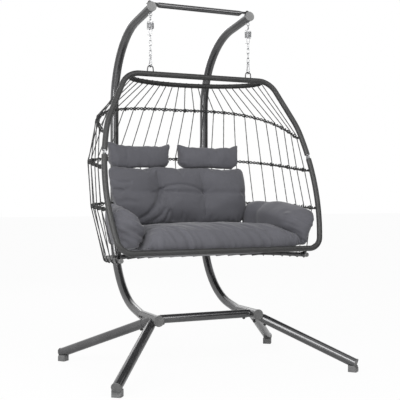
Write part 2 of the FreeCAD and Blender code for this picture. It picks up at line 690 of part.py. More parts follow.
def snap_hook():
    """A pear-shaped hook, open between its nose and its two ears."""
    lean = HOOK_LEAN_DEG
    nose = (HOOK_FRONT_LOW[0] + HOOK_NOSE * sin_deg(lean), HOOK_FRONT_LOW[1] + HOOK_NOSE * cos_deg(lean))
    below_hinge = (GATE_HINGE[0] - HOOK_WIRE_R * sin_deg(lean), GATE_HINGE[1] - HOOK_WIRE_R * cos_deg(lean))
    line = [nose, HOOK_FRONT_LOW]
    line += arc_in_plane((0, HOOK_WIDE_Z), HOOK_WIDE_R, 180 - lean, 360 + lean, 2 * LINK_END_STEPS)
    line.append((HOOK_NARROW_R * cos_deg(lean), HOOK_NARROW_Z + HOOK_NARROW_R * sin_deg(lean)))
    line += arc_in_plane((0, HOOK_NARROW_Z), HOOK_NARROW_R, lean, 180 - lean, LINK_END_STEPS + 1)
    line.append(below_hinge)
    shape = rod([side_point(ACROSS_Y, *p) for p in line], HOOK_WIRE_R, LINK_SIDES, V(1, 0, 0))
    left, right = gate_pin_ends(HOOK_WIRE_R - GAP)
    return shape.cut(hook_slot()).fuse(prism(left, right, GATE_PIN_R, SMALL_SIDES))


def hook_gate():
    """The sprung gate: a bar with a flat tongue between the ears, ending at the nose."""
    hinge, tip = side_point(ACROSS_Y, *GATE_HINGE), side_point(ACROSS_Y, *GATE_TIP)
    along = (tip - hinge).normalize()
    bar = prism(hinge + along * (HOOK_WIRE_R + GATE_BAR_START), tip, GATE_R, LINK_SIDES)
    length = 2.5 * HOOK_WIRE_R
    blade = Part.makeBox(GATE_TONGUE, 2 * GATE_R, length, V(-GATE_TONGUE / 2, -GATE_R, -length))
    blade.rotate(V(0, 0, 0), V(1, 0, 0), -HOOK_LEAN_DEG)
    blade.translate(hinge)
    round_end = prism(hinge - V(GATE_TONGUE / 2, 0, 0), hinge + V(GATE_TONGUE / 2, 0, 0), GATE_R, SMALL_SIDES)
    bore = cylinder(*gate_pin_ends(HOOK_WIRE_R), GATE_PIN_R + GATE_PIN_GAP)
    return bar.fuse(blade).fuse(round_end).cut(bore).removeSplitter()


# Basket loop

UP_SLOPE = V(0, sin_deg(LOOP_TILT_DEG), cos_deg(LOOP_TILT_DEG))
OFF_SLOPE = V(0, cos_deg(LOOP_TILT_DEG), -sin_deg(LOOP_TILT_DEG))


def loop_half():
    """Right half of the loop from the middle of the bottom bar up to the end of the top corner."""
    line = [(LOOP_BOTTOM_HALF, 0.0)]
    heading = 0.0
    bends = ((LOOP_CORNER_R, LOOP_CORNER_DEG, 4), (LOOP_SIDE_R, LOOP_SIDE_DEG, 5),
             (LOOP_SHOULDER_R, LOOP_SHOULDER_DEG, 1))
    for radius, until, steps in bends:
        x, s = line[-1]
        centre = (x - radius * sin_deg(heading), s + radius * cos_deg(heading))
        line += arc_in_plane(centre, radius, heading - 90, until - 90, steps)
        heading = until
    x, s = line[-1]
    line.append((x + LOOP_SLOPE * cos_deg(heading), s + LOOP_SLOPE * sin_deg(heading)))
    x, s = line[-1]
    centre = (x - LOOP_TOP_CORNER_R * sin_deg(heading), s + LOOP_TOP_CORNER_R * cos_deg(heading))
    line += arc_in_plane(centre, LOOP_TOP_CORNER_R, heading - 90, 90, 3)
    return line


LOOP_LINE = loop_half()
LOOP_TOP_S = LOOP_LINE[-1][1]
TOP_BAR = V(0, HANG_Y - TOP_BAR_FORWARD, PITCH_Z - LUG_RISE)
LOOP_LOW = TOP_BAR - UP_SLOPE * LOOP_TOP_S


def on_slope(pair):
    return V(pair[0], 0, 0) + LOOP_LOW + UP_SLOPE * pair[1]


def loop_x_at(s):
    """Half width of the loop at a distance up the slope."""
    for (x0, s0), (x1, s1) in zip(LOOP_LINE, LOOP_LINE[1:]):
        if s0 <= s <= s1 and s1 > s0:
            return x0 + (x1 - x0) * (s - s0) / (s1 - s0)
    return LOOP_LINE[-1][0]


def slope_at_height(z):
    """Distance up the slope of a height above the ground."""
    return (z - LOOP_LOW.z) / UP_SLOPE.z


def loop_lower_line(end_gap):
    """From the left hinge down round the bottom bar to the right hinge."""
    limit = HINGE_S - end_gap
    right = [p for p in LOOP_LINE if p[1] < limit - LEAST_STEP] + [(loop_x_at(limit), limit)]
    left = [(-x, s) for x, s in reversed(right)]
    return [on_slope(p) for p in left + right]


def loop_upper_line(end_gap):
    """From the right hinge up round the top bar to the left hinge."""
    limit = HINGE_S + end_gap
    right = [(loop_x_at(limit), limit)] + [p for p in LOOP_LINE if p[1] > limit + LEAST_STEP]
    left = [(-x, s) for x, s in reversed(right)]
    return [on_slope(p) for p in right + left]


def loop_tube(line):
    return tube(line, LOOP_TUBE_R, LOOP_TUBE_WALL, LOOP_SIDES, OFF_SLOPE)


def loop_wrap(line):
    """The woven cover round the bare tube, as a sleeve."""
    return tube(line, LOOP_R, LOOP_R - LOOP_TUBE_R - GAP, LOOP_SIDES, OFF_SLOPE)


def clear_of_loop(shape):
    """Trim a piece where it would enter the woven cover."""
    for line in (loop_lower_line(HINGE_WRAP_END), loop_upper_line(HINGE_WRAP_END)):
        shape = shape.cut(rod(line, LOOP_R + GAP, LOOP_SIDES, OFF_SLOPE))
    return shape


HINGE = on_slope((loop_x_at(HINGE_S), HINGE_S))


def hinge_plate(thickness, offset, up):
    """A flat plate from the pin towards the tube, round about the pin."""
    reach = HINGE_TUBE_END - HINGE_FLANGE / 2
    foot = V(-thickness / 2, -HINGE_WIDTH / 2, 0 if up else -reach)
    plate = Part.makeBox(thickness, HINGE_WIDTH, reach, foot)
    plate = plate.fuse(prism(V(-thickness / 2, 0, 0), V(thickness / 2, 0, 0), HINGE_WIDTH / 2))
    plate.rotate(V(0, 0, 0), V(1, 0, 0), -LOOP_TILT_DEG)
    plate.translate(HINGE + V(offset, 0, 0))
    return plate


def hinge_plug(line):
    """The foot of a hinge half: a flange on the bare tube's end and a plug that follows it inside."""
    along = (line[1] - line[0]).normalize()
    flange = rod([line[0] - along * HINGE_FLANGE, line[0]], LOOP_TUBE_R, LOOP_SIDES, OFF_SLOPE)
    inside = [line[0]]
    rest = HINGE_PLUG
    while rest > 0:
        step = line[len(inside)] - inside[-1]
        inside.append(inside[-1] + step * min(1.0, rest / step.Length))
        rest -= step.Length
    return flange.fuse(rod(inside, LOOP_TUBE_R - LOOP_TUBE_WALL - GAP, LOOP_SIDES, OFF_SLOPE))


def hinge_run(extra):
    """Start and end of a line through the hinge, a little longer than the ears need."""
    half = HINGE_BLADE / 2 + GAP + HINGE_EAR + extra
    return HINGE - V(half, 0, 0), HINGE + V(half, 0, 0)


def hinge_tongue():
    """Upper hinge half: one blade that turns between the ears."""
    shape = hinge_plate(HINGE_BLADE, 0.0, True).fuse(hinge_plug(loop_upper_line(HINGE_TUBE_END)))
    return shape.cut(cylinder(*hinge_run(0.0), HINGE_PIN_R + HINGE_PIN_GAP)).removeSplitter()


def hinge_clevis():
    """Lower hinge half: two ears either side of the blade."""
    offset = HINGE_BLADE / 2 + GAP + HINGE_EAR / 2
    shape = hinge_plug(loop_lower_line(HINGE_TUBE_END)[::-1])
    for side in (1, -1):
        shape = shape.fuse(hinge_plate(HINGE_EAR, side * offset, False))
    clear_of_pin = (HINGE_PIN_R + HINGE_PIN_GAP) / cos_deg(180.0 / SMALL_SIDES)
    return shape.cut(prism(*hinge_run(1.0), clear_of_pin, SMALL_SIDES)).removeSplitter()


def hinge_pin():
    """A shouldered pin through ears and blade, with a head at each end."""
    left, right = hinge_run(GAP)
    shape = cylinder(left, right, HINGE_PIN_R)
    for side, seat in ((1, right), (-1, left)):
        shape = shape.fuse(prism(seat, seat + V(side * HINGE_HEAD_H, 0, 0), HINGE_HEAD_R, SMALL_SIDES))
    return shape


def hanging_lug():
    """The wire eye on the top bar that the snap hook holds."""
    half = LUG_WIDTH / 2
    line = [(half, TOP_BAR.z), (half, PITCH_Z - half)]
    line += arc_in_plane((0, PITCH_Z - half), half, 0, 180, 2 * LINK_END_STEPS)
    line.append((-half, TOP_BAR.z))
    points = [side_point(ACROSS_X, *p) for p in line]
    return clear_of_loop(rod(points, LUG_WIRE_R, LINK_SIDES + 2, V(0, 1, 0)))


# Arcs, rails and their lugs


def arc_line(shape, end, steps):
    """Centre line from the right end round the back to the left end. shape gives handles, depth and rise."""
    half = bezier((end.x, end.y), (shape["handle_x"], shape["handle_y"]), (shape["back_x"], shape["back_y"]),
                  (0.0, shape["back_y"]), steps)
    right = [V(x, y, end.z + shape["rise"] * (y - end.y)) for x, y in half]
    left = [V(-p.x, p.y, p.z) for p in reversed(right[:-1])]
    return right + left


def loop_point_at(z):
    s = slope_at_height(z)
    return on_slope((loop_x_at(s), s))


def arc_eye(shape):
    """Middle of the lug's eye that carries an arc's end."""
    return loop_point_at(HINGE.z + shape["over_hinge"]) + V(EYE_LUG_OUTSET, EYE_LUG_REACH, 0)


def arc_start(shape):
    """Where the arc's own tube begins, just behind the lug."""
    tilt = shape["rise"] / math.hypot(1.0, shape["rise"])
    return arc_eye(shape) + V(0, apothem(EYE_LUG_R, SMALL_SIDES) + GAP + ARC_R * tilt, 0)


def eye_lug(shape):
    """A flat lug on the back of the loop with an open eye."""
    eye, root = arc_eye(shape), loop_point_at(HINGE.z + shape["over_hinge"])
    height = 2 * EYE_LUG_R - EYE_LUG_WAIST
    corner = V(eye.x - EYE_LUG_THICK / 2, root.y, eye.z - height / 2)
    plate = Part.makeBox(EYE_LUG_THICK, eye.y - root.y, height, corner)
    side = V(EYE_LUG_THICK / 2, 0, 0)
    lug = plate.fuse(prism(eye - side, eye + side, EYE_LUG_R, SMALL_SIDES))
    return clear_of_loop(lug.cut(prism(eye - side * 2, eye + side * 2, EYE_LUG_HOLE_R, SMALL_SIDES)))


def arc_tube(shape):
    return tube(arc_line(shape, arc_start(shape), ARC_STEPS), ARC_R, ARC_WALL, ARC_SIDES, V(0, 0, 1))


TOP_RAIL_START = V(TOP_RAIL_END_X, TOP_BAR.y + TOP_RAIL_GAP, TOP_BAR.z - TOP_RAIL_DROP)
SEAT_RAIL_START = V(SEAT_RAIL_END_X, LOOP_LOW.y + SEAT_RAIL_BEHIND, LOOP_LOW.z - SEAT_RAIL_UNDER)
TOP_RAIL_LINE = arc_line(TOP_RAIL, TOP_RAIL_START, ARC_STEPS)
SEAT_RAIL_LINE = arc_line(SEAT_RAIL, SEAT_RAIL_START, ARC_STEPS)


def top_rail():
    return tube(TOP_RAIL_LINE, TOP_RAIL_R, TOP_RAIL_WALL, ARC_SIDES, V(0, 0, 1))


def seat_rail():
    return tube(SEAT_RAIL_LINE, SEAT_RAIL_R, SEAT_RAIL_WALL, SEAT_RAIL_SIDES, V(0, 0, 1))


def seat_rail_cap():
    outward = (SEAT_RAIL_LINE[0] - SEAT_RAIL_LINE[1]).normalize()
    face, inside = SEAT_RAIL_START + outward * RAIL_CAP_THICK, SEAT_RAIL_START - outward * RAIL_CAP_PLUG
    disc = rod([SEAT_RAIL_START, face], SEAT_RAIL_R, SEAT_RAIL_SIDES, V(0, 0, 1))
    plug_r = SEAT_RAIL_R - SEAT_RAIL_WALL - GAP
    return disc.fuse(rod([inside, SEAT_RAIL_START], plug_r, SEAT_RAIL_SIDES, V(0, 0, 1)))


def flat_strip(start, end, width, thick, across):
    """A flat bar between two points. across is the direction of its width."""
    along = (end - start).normalize()
    wide = (across - along * across.dot(along)).normalize()
    through = along.cross(wide)
    signs = ((1, 1), (1, -1), (-1, -1), (-1, 1))
    corners = [start + wide * (a * width / 2) + through * (b * thick / 2) for a, b in signs]
    return Part.Face(polygon_wire(corners)).extrude(end - start)


def seat_bracket():
    """A flat bar from the back of the loop's corner down to the seat rail's end."""
    root = loop_point_at(LOOP_LOW.z + BRACKET_ROOT)
    lift = apothem(SEAT_RAIL_R, SEAT_RAIL_SIDES) + BRACKET_THICK / 2 + GAP
    along = (SEAT_RAIL_LINE[1] - SEAT_RAIL_LINE[0]).normalize()
    seat = SEAT_RAIL_START + along * BRACKET_SETBACK + V(0, 0, lift)
    arm = flat_strip(root, seat, BRACKET_WIDTH, BRACKET_THICK, V(1, 0, 0))
    foot = flat_strip(seat, seat + along * BRACKET_FOOT, BRACKET_WIDTH, BRACKET_THICK, V(1, 0, 0))
    rail = rod(SEAT_RAIL_LINE[:2], SEAT_RAIL_R + GAP, SEAT_RAIL_SIDES, V(0, 0, 1))
    return clear_of_loop(arm.fuse(foot).cut(rail))


# Net


def length_of(line):
    return sum((b - a).Length for a, b in zip(line, line[1:]))


def point_along(line, share):
    """A point at a share of a line's length, the level direction outwards there, and the line's own."""
    rest = share * length_of(line)
    for a, b in zip(line, line[1:]):
        step = (b - a).Length
        if rest <= step or b is line[-1]:
            along = (b - a).normalize()
            outward = V(-along.y, along.x, 0).normalize()
            if outward.dot(a - V(0, SEAT_RAIL_START.y, a.z)) < 0:
                outward = -outward
            return a + along * rest, outward, along
        rest -= step


ROPE_FLAT = apothem(ROPE_R, ROPE_SIDES)
ROPE_SHARES = [(i + 0.5) / ROPE_COUNT for i in range(ROPE_COUNT)]
UPPER_LINE = arc_line(UPPER_ARC, arc_start(UPPER_ARC), ARC_STEPS)
MIDDLE_LINE = arc_line(MIDDLE_ARC, arc_start(MIDDLE_ARC), ARC_STEPS)
LOWER_LINE = arc_line(LOWER_ARC, arc_start(LOWER_ARC), ARC_STEPS)
NET_FRONT = V(0, LOOP_LOW.y, LOOP_LOW.z)
NET_FRONT.y += (apothem(LOOP_R, LOOP_SIDES) + GAP + ROPE_R * sin_deg(LOOP_TILT_DEG)) / cos_deg(LOOP_TILT_DEG)
UNDER_RAIL = apothem(SEAT_RAIL_R, SEAT_RAIL_SIDES) + ROPE_FLAT + GAP


def across_tube(place, heading):
    """The direction out of a tube that is square to it and to a rope that crosses it."""
    outward, along = place[1], place[2]
    away = along.cross(heading).normalize()
    return away if away.dot(outward) > 0 else -away


def over_tube(before, place, after, radius):
    """Where a rope that comes from one point and goes to another bends over a tube between them."""
    come, go = (place[0] - before).normalize(), (after - place[0]).normalize()
    mean = (come + go).normalize()
    half_bend = math.acos(min(1.0, come.dot(mean)))
    return place[0] + across_tube(place, mean) * ((radius + ROPE_FLAT + ROPE_GAP) / math.cos(half_bend))


def rope_rings(share):
    """One rope's cross sections from the top rail over the arcs to the underside of the seat rail."""
    lines = (TOP_RAIL_LINE, UPPER_LINE, MIDDLE_LINE, LOWER_LINE, SEAT_RAIL_LINE)
    places = [point_along(line, share) for line in lines]
    reach = apothem(SEAT_RAIL_R, SEAT_RAIL_SIDES) + ROPE_R + GAP / 2
    corner = reach / cos_deg(180.0 / SEAT_RAIL_SIDES)
    rail, outward = places[4][0], places[4][1]
    fall = (places[1][0] - places[0][0]).normalize()
    away = across_tube(places[0], fall)
    start = places[0][0] + away * (TOP_RAIL_R + ROPE_FLAT + ROPE_GAP)
    route = [start, places[1][0], places[2][0], places[3][0], rail + outward * reach]
    for i in (1, 2, 3):
        route[i] = over_tube(route[i - 1], places[i], route[i + 1], ARC_R)
    line = [start - fall * ROPE_END] + route[1:4]
    line += [rail + outward * (corner * cos_deg(a)) + V(0, 0, corner * sin_deg(a)) for a in (-22.5, -67.5)]
    line.append(rail - V(0, 0, reach))
    return rings_along(line, [ROPE_R] * len(line), ROPE_SIDES, away, False)


def rope_between(rings, first, last):
    """The stretch of a rope between two of its cross sections."""
    stretch = rings[first:last + 1]
    ends = [Part.Face(polygon_wire(stretch[0])), Part.Face(polygon_wire(stretch[-1]))]
    return closed_solid(skin(stretch, False) + ends)


def net(first, last):
    return [rope_between(rope_rings(share), first, last) for share in ROPE_SHARES]


def seat_rope_rear(place):
    """Where a seat rope starts under the rail, low enough for its climb to clear the rail's front edge."""
    centre, outward = place[0], place[1]
    edge = SEAT_RAIL_R * sin_deg(180.0 / SEAT_RAIL_SIDES) / outward.y
    climb = (NET_FRONT.z - centre.z + UNDER_RAIL) / (centre.y - NET_FRONT.y)
    clear_of_end = (ROPE_FLAT * abs(outward.x) + 2 * GAP) / outward.y
    return centre - V(0, clear_of_end, UNDER_RAIL + climb * edge)


def seat_ropes():
    """The ropes that come down behind the seat go on under it to the back of the loop's bottom bar."""
    ropes = []
    for share in ROPE_SHARES:
        place = point_along(SEAT_RAIL_LINE, share)
        centre = place[0]
        if abs(centre.x) < SEAT_ROPE_REACH_X and centre.y > 0:
            rear = seat_rope_rear(place)
            ropes.append(rod([rear, V(centre.x, NET_FRONT.y, NET_FRONT.z)], ROPE_R, ROPE_SIDES, V(0, 0, 1)))
    return ropes


# Cushions


def net_height(y):
    """Just above the seat ropes at a depth."""
    rear = seat_rope_rear(point_along(SEAT_RAIL_LINE, 0.5))
    return NET_FRONT.z + (rear.z - NET_FRONT.z) * (y - NET_FRONT.y) / (rear.y - NET_FRONT.y) + ROPE_FLAT + GAP


def bulged(a, b, out, amount, steps):
    """Points from a up to b, without b, on an arc whose middle stands out by an amount."""
    half = (b - a).Length / 2
    if amount <= 0.0:
        return [a]
    radius = (half * half + amount * amount) / (2 * amount)
    centre = (a + b) * 0.5 + out * (amount - radius)
    along = (b - a).normalize()
    spread = math.degrees(math.asin(half / radius))
    angles = [spread * (2.0 * i / steps - 1.0) for i in range(steps)]
    return [centre + along * (radius * sin_deg(t)) + out * (radius * cos_deg(t)) for t in angles]


def loft_in_facets(sections):
    """A loft through outlines of equally many points, each patch as two flat triangles."""
    faces = [Part.Face(polygon_wire(sections[0])), Part.Face(polygon_wire(sections[-1]))]
    count = len(sections[0])
    for here, there in zip(sections, sections[1:]):
        for k in range(count):
            n = (k + 1) % count
            faces += [Part.Face(polygon_wire([here[k], here[n], there[n]])),
                      Part.Face(polygon_wire([here[k], there[n], there[k]]))]
    return closed_solid(faces)


def between(stations, steps):
    """Stations with more put between them, on a smooth curve through the given ones."""
    filled = []
    for i in range(len(stations) - 1):
        a, b = stations[i], stations[i + 1]
        before, after = stations[max(i - 1, 0)], stations[min(i + 2, len(stations) - 1)]
        for j in range(steps):
            t = j / steps
            row = [(a[0] + (b[0] - a[0]) * t)]
            for k in range(1, len(a)):
                slope_a = (b[k] - before[k]) / max(b[0] - before[0], 1.0) * (b[0] - a[0])
                slope_b = (after[k] - a[k]) / max(after[0] - a[0], 1.0) * (b[0] - a[0])
                row.append((2 * t ** 3 - 3 * t * t + 1) * a[k] + (t ** 3 - 2 * t * t + t) * slope_a
                           + (3 * t * t - 2 * t ** 3) * b[k] + (t ** 3 - t * t) * slope_b)
            filled.append(tuple(row))
    return filled + [stations[-1]]


SEAT_FRONT_Y = LOOP_LOW.y + SEAT_FRONT_SET


def seat_section(x, rear_y, crown, squeeze):
    """Outline of the seat pad at one distance from the middle. squeeze draws its top and bottom together."""
    front_y = SEAT_FRONT_Y + 0.3 * squeeze
    low_front = V(x, front_y, net_height(front_y) + 0.6 * squeeze)
    low_rear = V(x, rear_y, net_height(rear_y) + 0.6 * squeeze)
    share = (rear_y - front_y) / (SEAT_STATIONS[0][1] - SEAT_FRONT_Y)
    high_front = V(x, front_y + SEAT_LEAN, low_front.z + SEAT_FRONT_H - 1.6 * squeeze)
    height = SEAT_FRONT_H + (SEAT_REAR_H - SEAT_FRONT_H) * share - 1.6 * squeeze
    high_rear = V(x, rear_y + SEAT_LEAN, low_rear.z + height)
    return ([low_rear] + bulged(low_front, high_front, V(0, -1, 0), SEAT_FRONT_SWELL, 4)
            + bulged(high_front, high_rear, V(0, 0, 1), crown, 8)
            + bulged(high_rear, low_rear, V(0, 1, 0), SEAT_REAR_SWELL, 3)[:3])


def symmetric_stations(stations, end):
    """Stations from the left end over the middle to the right end."""
    half = list(stations[1:]) + [end]
    left = [(-s[0],) + tuple(s[1:]) for s in reversed(half)]
    return left + [stations[0]] + half


def seat_cushion():
    stations = between(symmetric_stations(SEAT_STATIONS, SEAT_END), 2)
    return loft_in_facets([seat_section(*station) for station in stations])


BACK_REST_Z = LOWER_LINE[ARC_STEPS].z


def back_section(x, front_y, back_y, tuft, squeeze):
    """Outline of the back pad: two swellings above and below the row of tufts."""
    bottom, waist_z, top = LOOP_LOW.z + BACK_BOTTOM, LOOP_LOW.z + BACK_TUFT, LOOP_LOW.z + BACK_TOP
    low_front = V(x, front_y + BACK_FOOT_IN, bottom + squeeze)
    waist = V(x, front_y + BACK_WAIST_IN + tuft, waist_z)
    high_front = V(x, front_y + BACK_LEAN, top - squeeze)
    high_back = V(x, back_y, top + BACK_TOP_TILT - squeeze)
    low_back = V(x, back_y - BACK_HEEL, bottom + BACK_HEEL_RISE + squeeze)
    forward = V(0, -1, 0)
    return (bulged(low_front, waist, forward, BACK_LOW_SWELL, 6)
            + bulged(waist, high_front, forward, BACK_HIGH_SWELL, 5)
            + bulged(high_front, high_back, V(0, 0, 1), BACK_TOP_SWELL, 4)
            + [high_back, V(x, back_y, BACK_REST_Z)]
            + bulged(low_back, low_front, V(0, 0, -1), BACK_UNDER_SWELL, 3))


def back_cushion():
    stations = between(symmetric_stations(BACK_STATIONS, BACK_END), 2)
    return loft_in_facets([back_section(*station) for station in stations])


def arm_section(y, outer_top, outer_bottom, top, squeeze):
    """Outline of an arm pad at one depth, narrow below and full on top."""
    squeeze = max(squeeze, 0.0)
    bottom_z, top_z = LOOP_LOW.z + ARM_BOTTOM + squeeze, LOOP_LOW.z + top
    low_in = V(ARM_INNER_X + squeeze, y, bottom_z)
    high_in = V(ARM_INNER_X + squeeze, y, top_z - ARM_INNER_EDGE)
    high_out = V(outer_top, y, top_z - ARM_OUTER_EDGE)
    low_out = V(outer_bottom, y, bottom_z)
    return ([low_in] + bulged(high_in, high_out, V(0, 0, 1), ARM_CROWN, 6)
            + bulged(high_out, low_out, V(1, 0, 0), ARM_SWELL, 3) + [low_out])


def arm_cushion():
    stations = between([ARM_FRONT] + list(ARM_STATIONS) + [ARM_REAR], 2)
    return loft_in_facets([arm_section(*station) for station in stations])


def pillow_section(x, back_y, squeeze):
    """Outline of a head pillow, pinched at top and bottom."""
    front_y = back_y - PILLOW_THICK + 1.4 * squeeze
    low, high = LOOP_LOW.z + PILLOW_BOTTOM + 0.4 * squeeze, LOOP_LOW.z + PILLOW_TOP - 0.4 * squeeze
    middle = (front_y + back_y) / 2
    seam_low, seam_high = V(x, middle, low), V(x, middle, high)
    return (bulged(seam_low, seam_high, V(0, -1, 0), middle - front_y, 6)
            + bulged(seam_high, seam_low, V(0, 1, 0), back_y - middle, 6))


def head_pillow():
    sections = []
    for share, squeeze in PILLOW_STATIONS:
        x = PILLOW_INNER_X + (PILLOW_OUTER_X - PILLOW_INNER_X) * share
        back_y = PILLOW_BACK_Y + (PILLOW_END_BACK_Y - PILLOW_BACK_Y) * share
        sections.append(pillow_section(x, back_y, squeeze))
    return loft_in_facets(sections)


def sided(name, shape):
    """The right-hand piece and its left-hand twin, as two nodes."""
    return {"right_" + name: [shape], "left_" + name: [mirrored(shape)]}


def all_nodes():
    nodes = {}
    nodes.update(sided("upright_upper", upright_upper()))
    nodes.update(sided("upright_lower", upright_lower()))
    nodes.update(sided("hub", hub()))
    nodes.update(sided("front_leg", leg("front")))
    nodes.update(sided("rear_leg", leg("rear")))
    nodes["lower_crossbar"] = [lower_crossbar()]
    nodes["upper_crossbar"] = [upper_crossbar()]
    caps = [upright_cap(), hub_cap(), leg_cap("front"), leg_cap("rear")]
    nodes["tube_end_caps"] = [side for cap in caps for side in both_sides(cap)]
    nodes["foot_pads"] = both_sides(foot_pad("front")) + both_sides(foot_pad("rear"))
    nodes["eye_bolts"] = both_sides(eye_bolt())
    nodes["eye_bolt_nuts"] = both_sides(eye_nut())
    top_link = link(TOP_LINK_TOP, SMALL_LINK_LENGTH, SMALL_LINK_BEND, SMALL_LINK_R, ACROSS_Y)
    joining_link = link(JOINING_LINK_TOP, SMALL_LINK_LENGTH, SMALL_LINK_BEND, SMALL_LINK_R, ACROSS_X)
    nodes.update(sided("top_link", top_link))
    nodes.update(sided("joining_link", joining_link))
    nodes.update(sided("upper_drawbar", upper_drawbar()))
    nodes.update(sided("spring", spring()))
    nodes.update(sided("lower_drawbar", lower_drawbar()))
    nodes["right_chain"] = chain()
    nodes["left_chain"] = [mirrored(one) for one in chain()]
    nodes.update(sided("snap_hook", snap_hook()))
    nodes.update(sided("hook_gate", hook_gate()))
    nodes["hanging_lugs"] = both_sides(hanging_lug())
    nodes["loop_upper_tube"] = [loop_tube(loop_upper_line(HINGE_TUBE_END))]
    nodes["loop_upper_wrap"] = [loop_wrap(loop_upper_line(HINGE_WRAP_END))]
    nodes["loop_lower_tube"] = [loop_tube(loop_lower_line(HINGE_TUBE_END))]
    nodes["loop_lower_wrap"] = [loop_wrap(loop_lower_line(HINGE_WRAP_END))]
    nodes["hinge_tongues"] = both_sides(hinge_tongue())
    nodes["hinge_clevises"] = both_sides(hinge_clevis())
    nodes["hinge_pins"] = both_sides(hinge_pin())
    nodes["top_rail"] = [top_rail()]
    nodes["upper_arc"] = [arc_tube(UPPER_ARC)]
    nodes["middle_arc"] = [arc_tube(MIDDLE_ARC)]
    nodes["lower_arc"] = [arc_tube(LOWER_ARC)]
    nodes["seat_rail"] = [seat_rail()]
    nodes["seat_rail_caps"] = both_sides(seat_rail_cap())
    nodes["seat_brackets"] = both_sides(seat_bracket())
    nodes["upper_arc_lugs"] = both_sides(eye_lug(UPPER_ARC))
    nodes["lower_arc_lugs"] = both_sides(eye_lug(MIDDLE_ARC)) + both_sides(eye_lug(LOWER_ARC))
    nodes["upper_net"] = net(0, 1)
    nodes["middle_net"] = net(1, 2)
    nodes["lower_net"] = net(2, 6)
    nodes["seat_net"] = seat_ropes()
    nodes["seat_cushion"] = [seat_cushion()]
    nodes["back_cushion"] = [back_cushion()]
    nodes.update(sided("arm_cushion", arm_cushion()))
    nodes.update(sided("head_pillow", head_pillow()))
    return nodes


os.makedirs("parts", exist_ok=True)
for name, solids in all_nodes().items():
    shape = solids[0] if len(solids) == 1 else Part.makeCompound(solids)
    shape.exportStep("parts/" + name + ".step")

print("least gap between the spring's turns: %.2f mm" % least_spring_gap())
heights = (HUB_Z, SWING_Z, SWAY_Z, HOOK_TOP, PITCH_Z)
print("hub height %.1f, swing %.1f, sway %.1f, hook sway %.1f, pitch %.1f" % heights)
print("gate hinge y %.2f z %.2f" % (HANG_Y + GATE_HINGE[0], GATE_HINGE[1]))
print("loop hinge", tuple(round(c, 3) for c in HINGE), "top bar", tuple(round(c, 2) for c in TOP_BAR))
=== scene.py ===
import math

import bpy
from mathutils import Matrix, Vector, noise


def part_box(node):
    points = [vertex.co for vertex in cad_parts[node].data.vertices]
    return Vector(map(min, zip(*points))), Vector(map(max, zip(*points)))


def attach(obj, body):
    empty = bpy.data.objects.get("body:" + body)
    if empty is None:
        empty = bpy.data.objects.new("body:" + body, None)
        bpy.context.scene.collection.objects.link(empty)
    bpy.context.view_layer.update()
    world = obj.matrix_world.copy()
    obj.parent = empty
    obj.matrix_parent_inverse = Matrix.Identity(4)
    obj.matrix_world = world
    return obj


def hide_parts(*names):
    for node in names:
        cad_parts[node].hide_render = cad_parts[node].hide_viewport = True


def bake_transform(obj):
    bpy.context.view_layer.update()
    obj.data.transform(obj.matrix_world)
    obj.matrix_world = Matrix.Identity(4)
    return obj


bl_info = {
    "name": "Hanging egg chair",
    "version": (1, 0, 0),
    "blender": (4, 5, 0),
    "location": "3D View > Sidebar > Egg chair",
    "description": "Tubes, springs, chains, corded net and cushions of a hanging egg chair for two",
    "category": "Add Mesh",
}

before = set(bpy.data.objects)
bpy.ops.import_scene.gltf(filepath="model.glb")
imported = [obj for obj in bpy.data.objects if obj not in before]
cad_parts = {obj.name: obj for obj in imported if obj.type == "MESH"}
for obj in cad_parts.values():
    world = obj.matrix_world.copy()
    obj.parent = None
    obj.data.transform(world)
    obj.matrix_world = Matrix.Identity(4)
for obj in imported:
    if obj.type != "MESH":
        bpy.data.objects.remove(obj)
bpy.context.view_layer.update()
MM = 0.001
SIDES = {"right": 1, "left": -1}
DOWN = Vector((0, 0, -1))

# Stand, in millimetres. A bend is its centre's y and z, its radius and its sweep in degrees
UPRIGHT_X = 295.0
TOP_BEND = (110.0, 1466.0, 437.0, 81.4)
LOW_BEND = (116.0, 716.0, 431.0, 79.2)
LAST_BEND = (69.9, 472.04, 200.0)
UPRIGHT_BACK_Y = 547.0
UPRIGHT_JOINT_Z = 950.0
JOINT_GAP = 0.3
TIP = (-55.0, 1932.92)
TIP_TILT_DEG = 8.6
HUB_Z = 272.04
UPRIGHT_FOOT_Y = 8.0
STAND_TUBE = 25.0
LEG_APEX = (295.0, -90.0, HUB_Z)
LEG_ENDS = {"front": (663.0, -551.0, 44.0), "rear": (663.0, 387.0, 44.0)}
LEG_START = 70.0
HUB_ENDS = (-160.0, 68.0)
HUB_RADIUS = 27.0
NECK_RADIUS = 23.2
NECK_OVERLAP = 12.0
BAR_NECK_RADIUS = 21.2
LOWER_BAR_END = 256.0

# Upper crossbar, level: where it is pressed flat, its taper, its round and flat sizes and its heights
UPPER_BAR_FLATS = (309.0, 306.0, 272.0)
UPPER_BAR_TAPER = 34.0
UPPER_BAR_RADIUS = 14.5
UPPER_BAR_FLAT = (18.0, 1.8)
UPPER_BAR_HEIGHTS = (21.0, 27.1)
UPPER_BAR_LAST_WIDTH = 0.86

# Bolts of the stand: radius and height of the head
LEG_BOLT = (8.5, 9.0)
NECK_BOLT = (8.0, 8.0)
SMALL_BOLT = (6.0, 4.5)

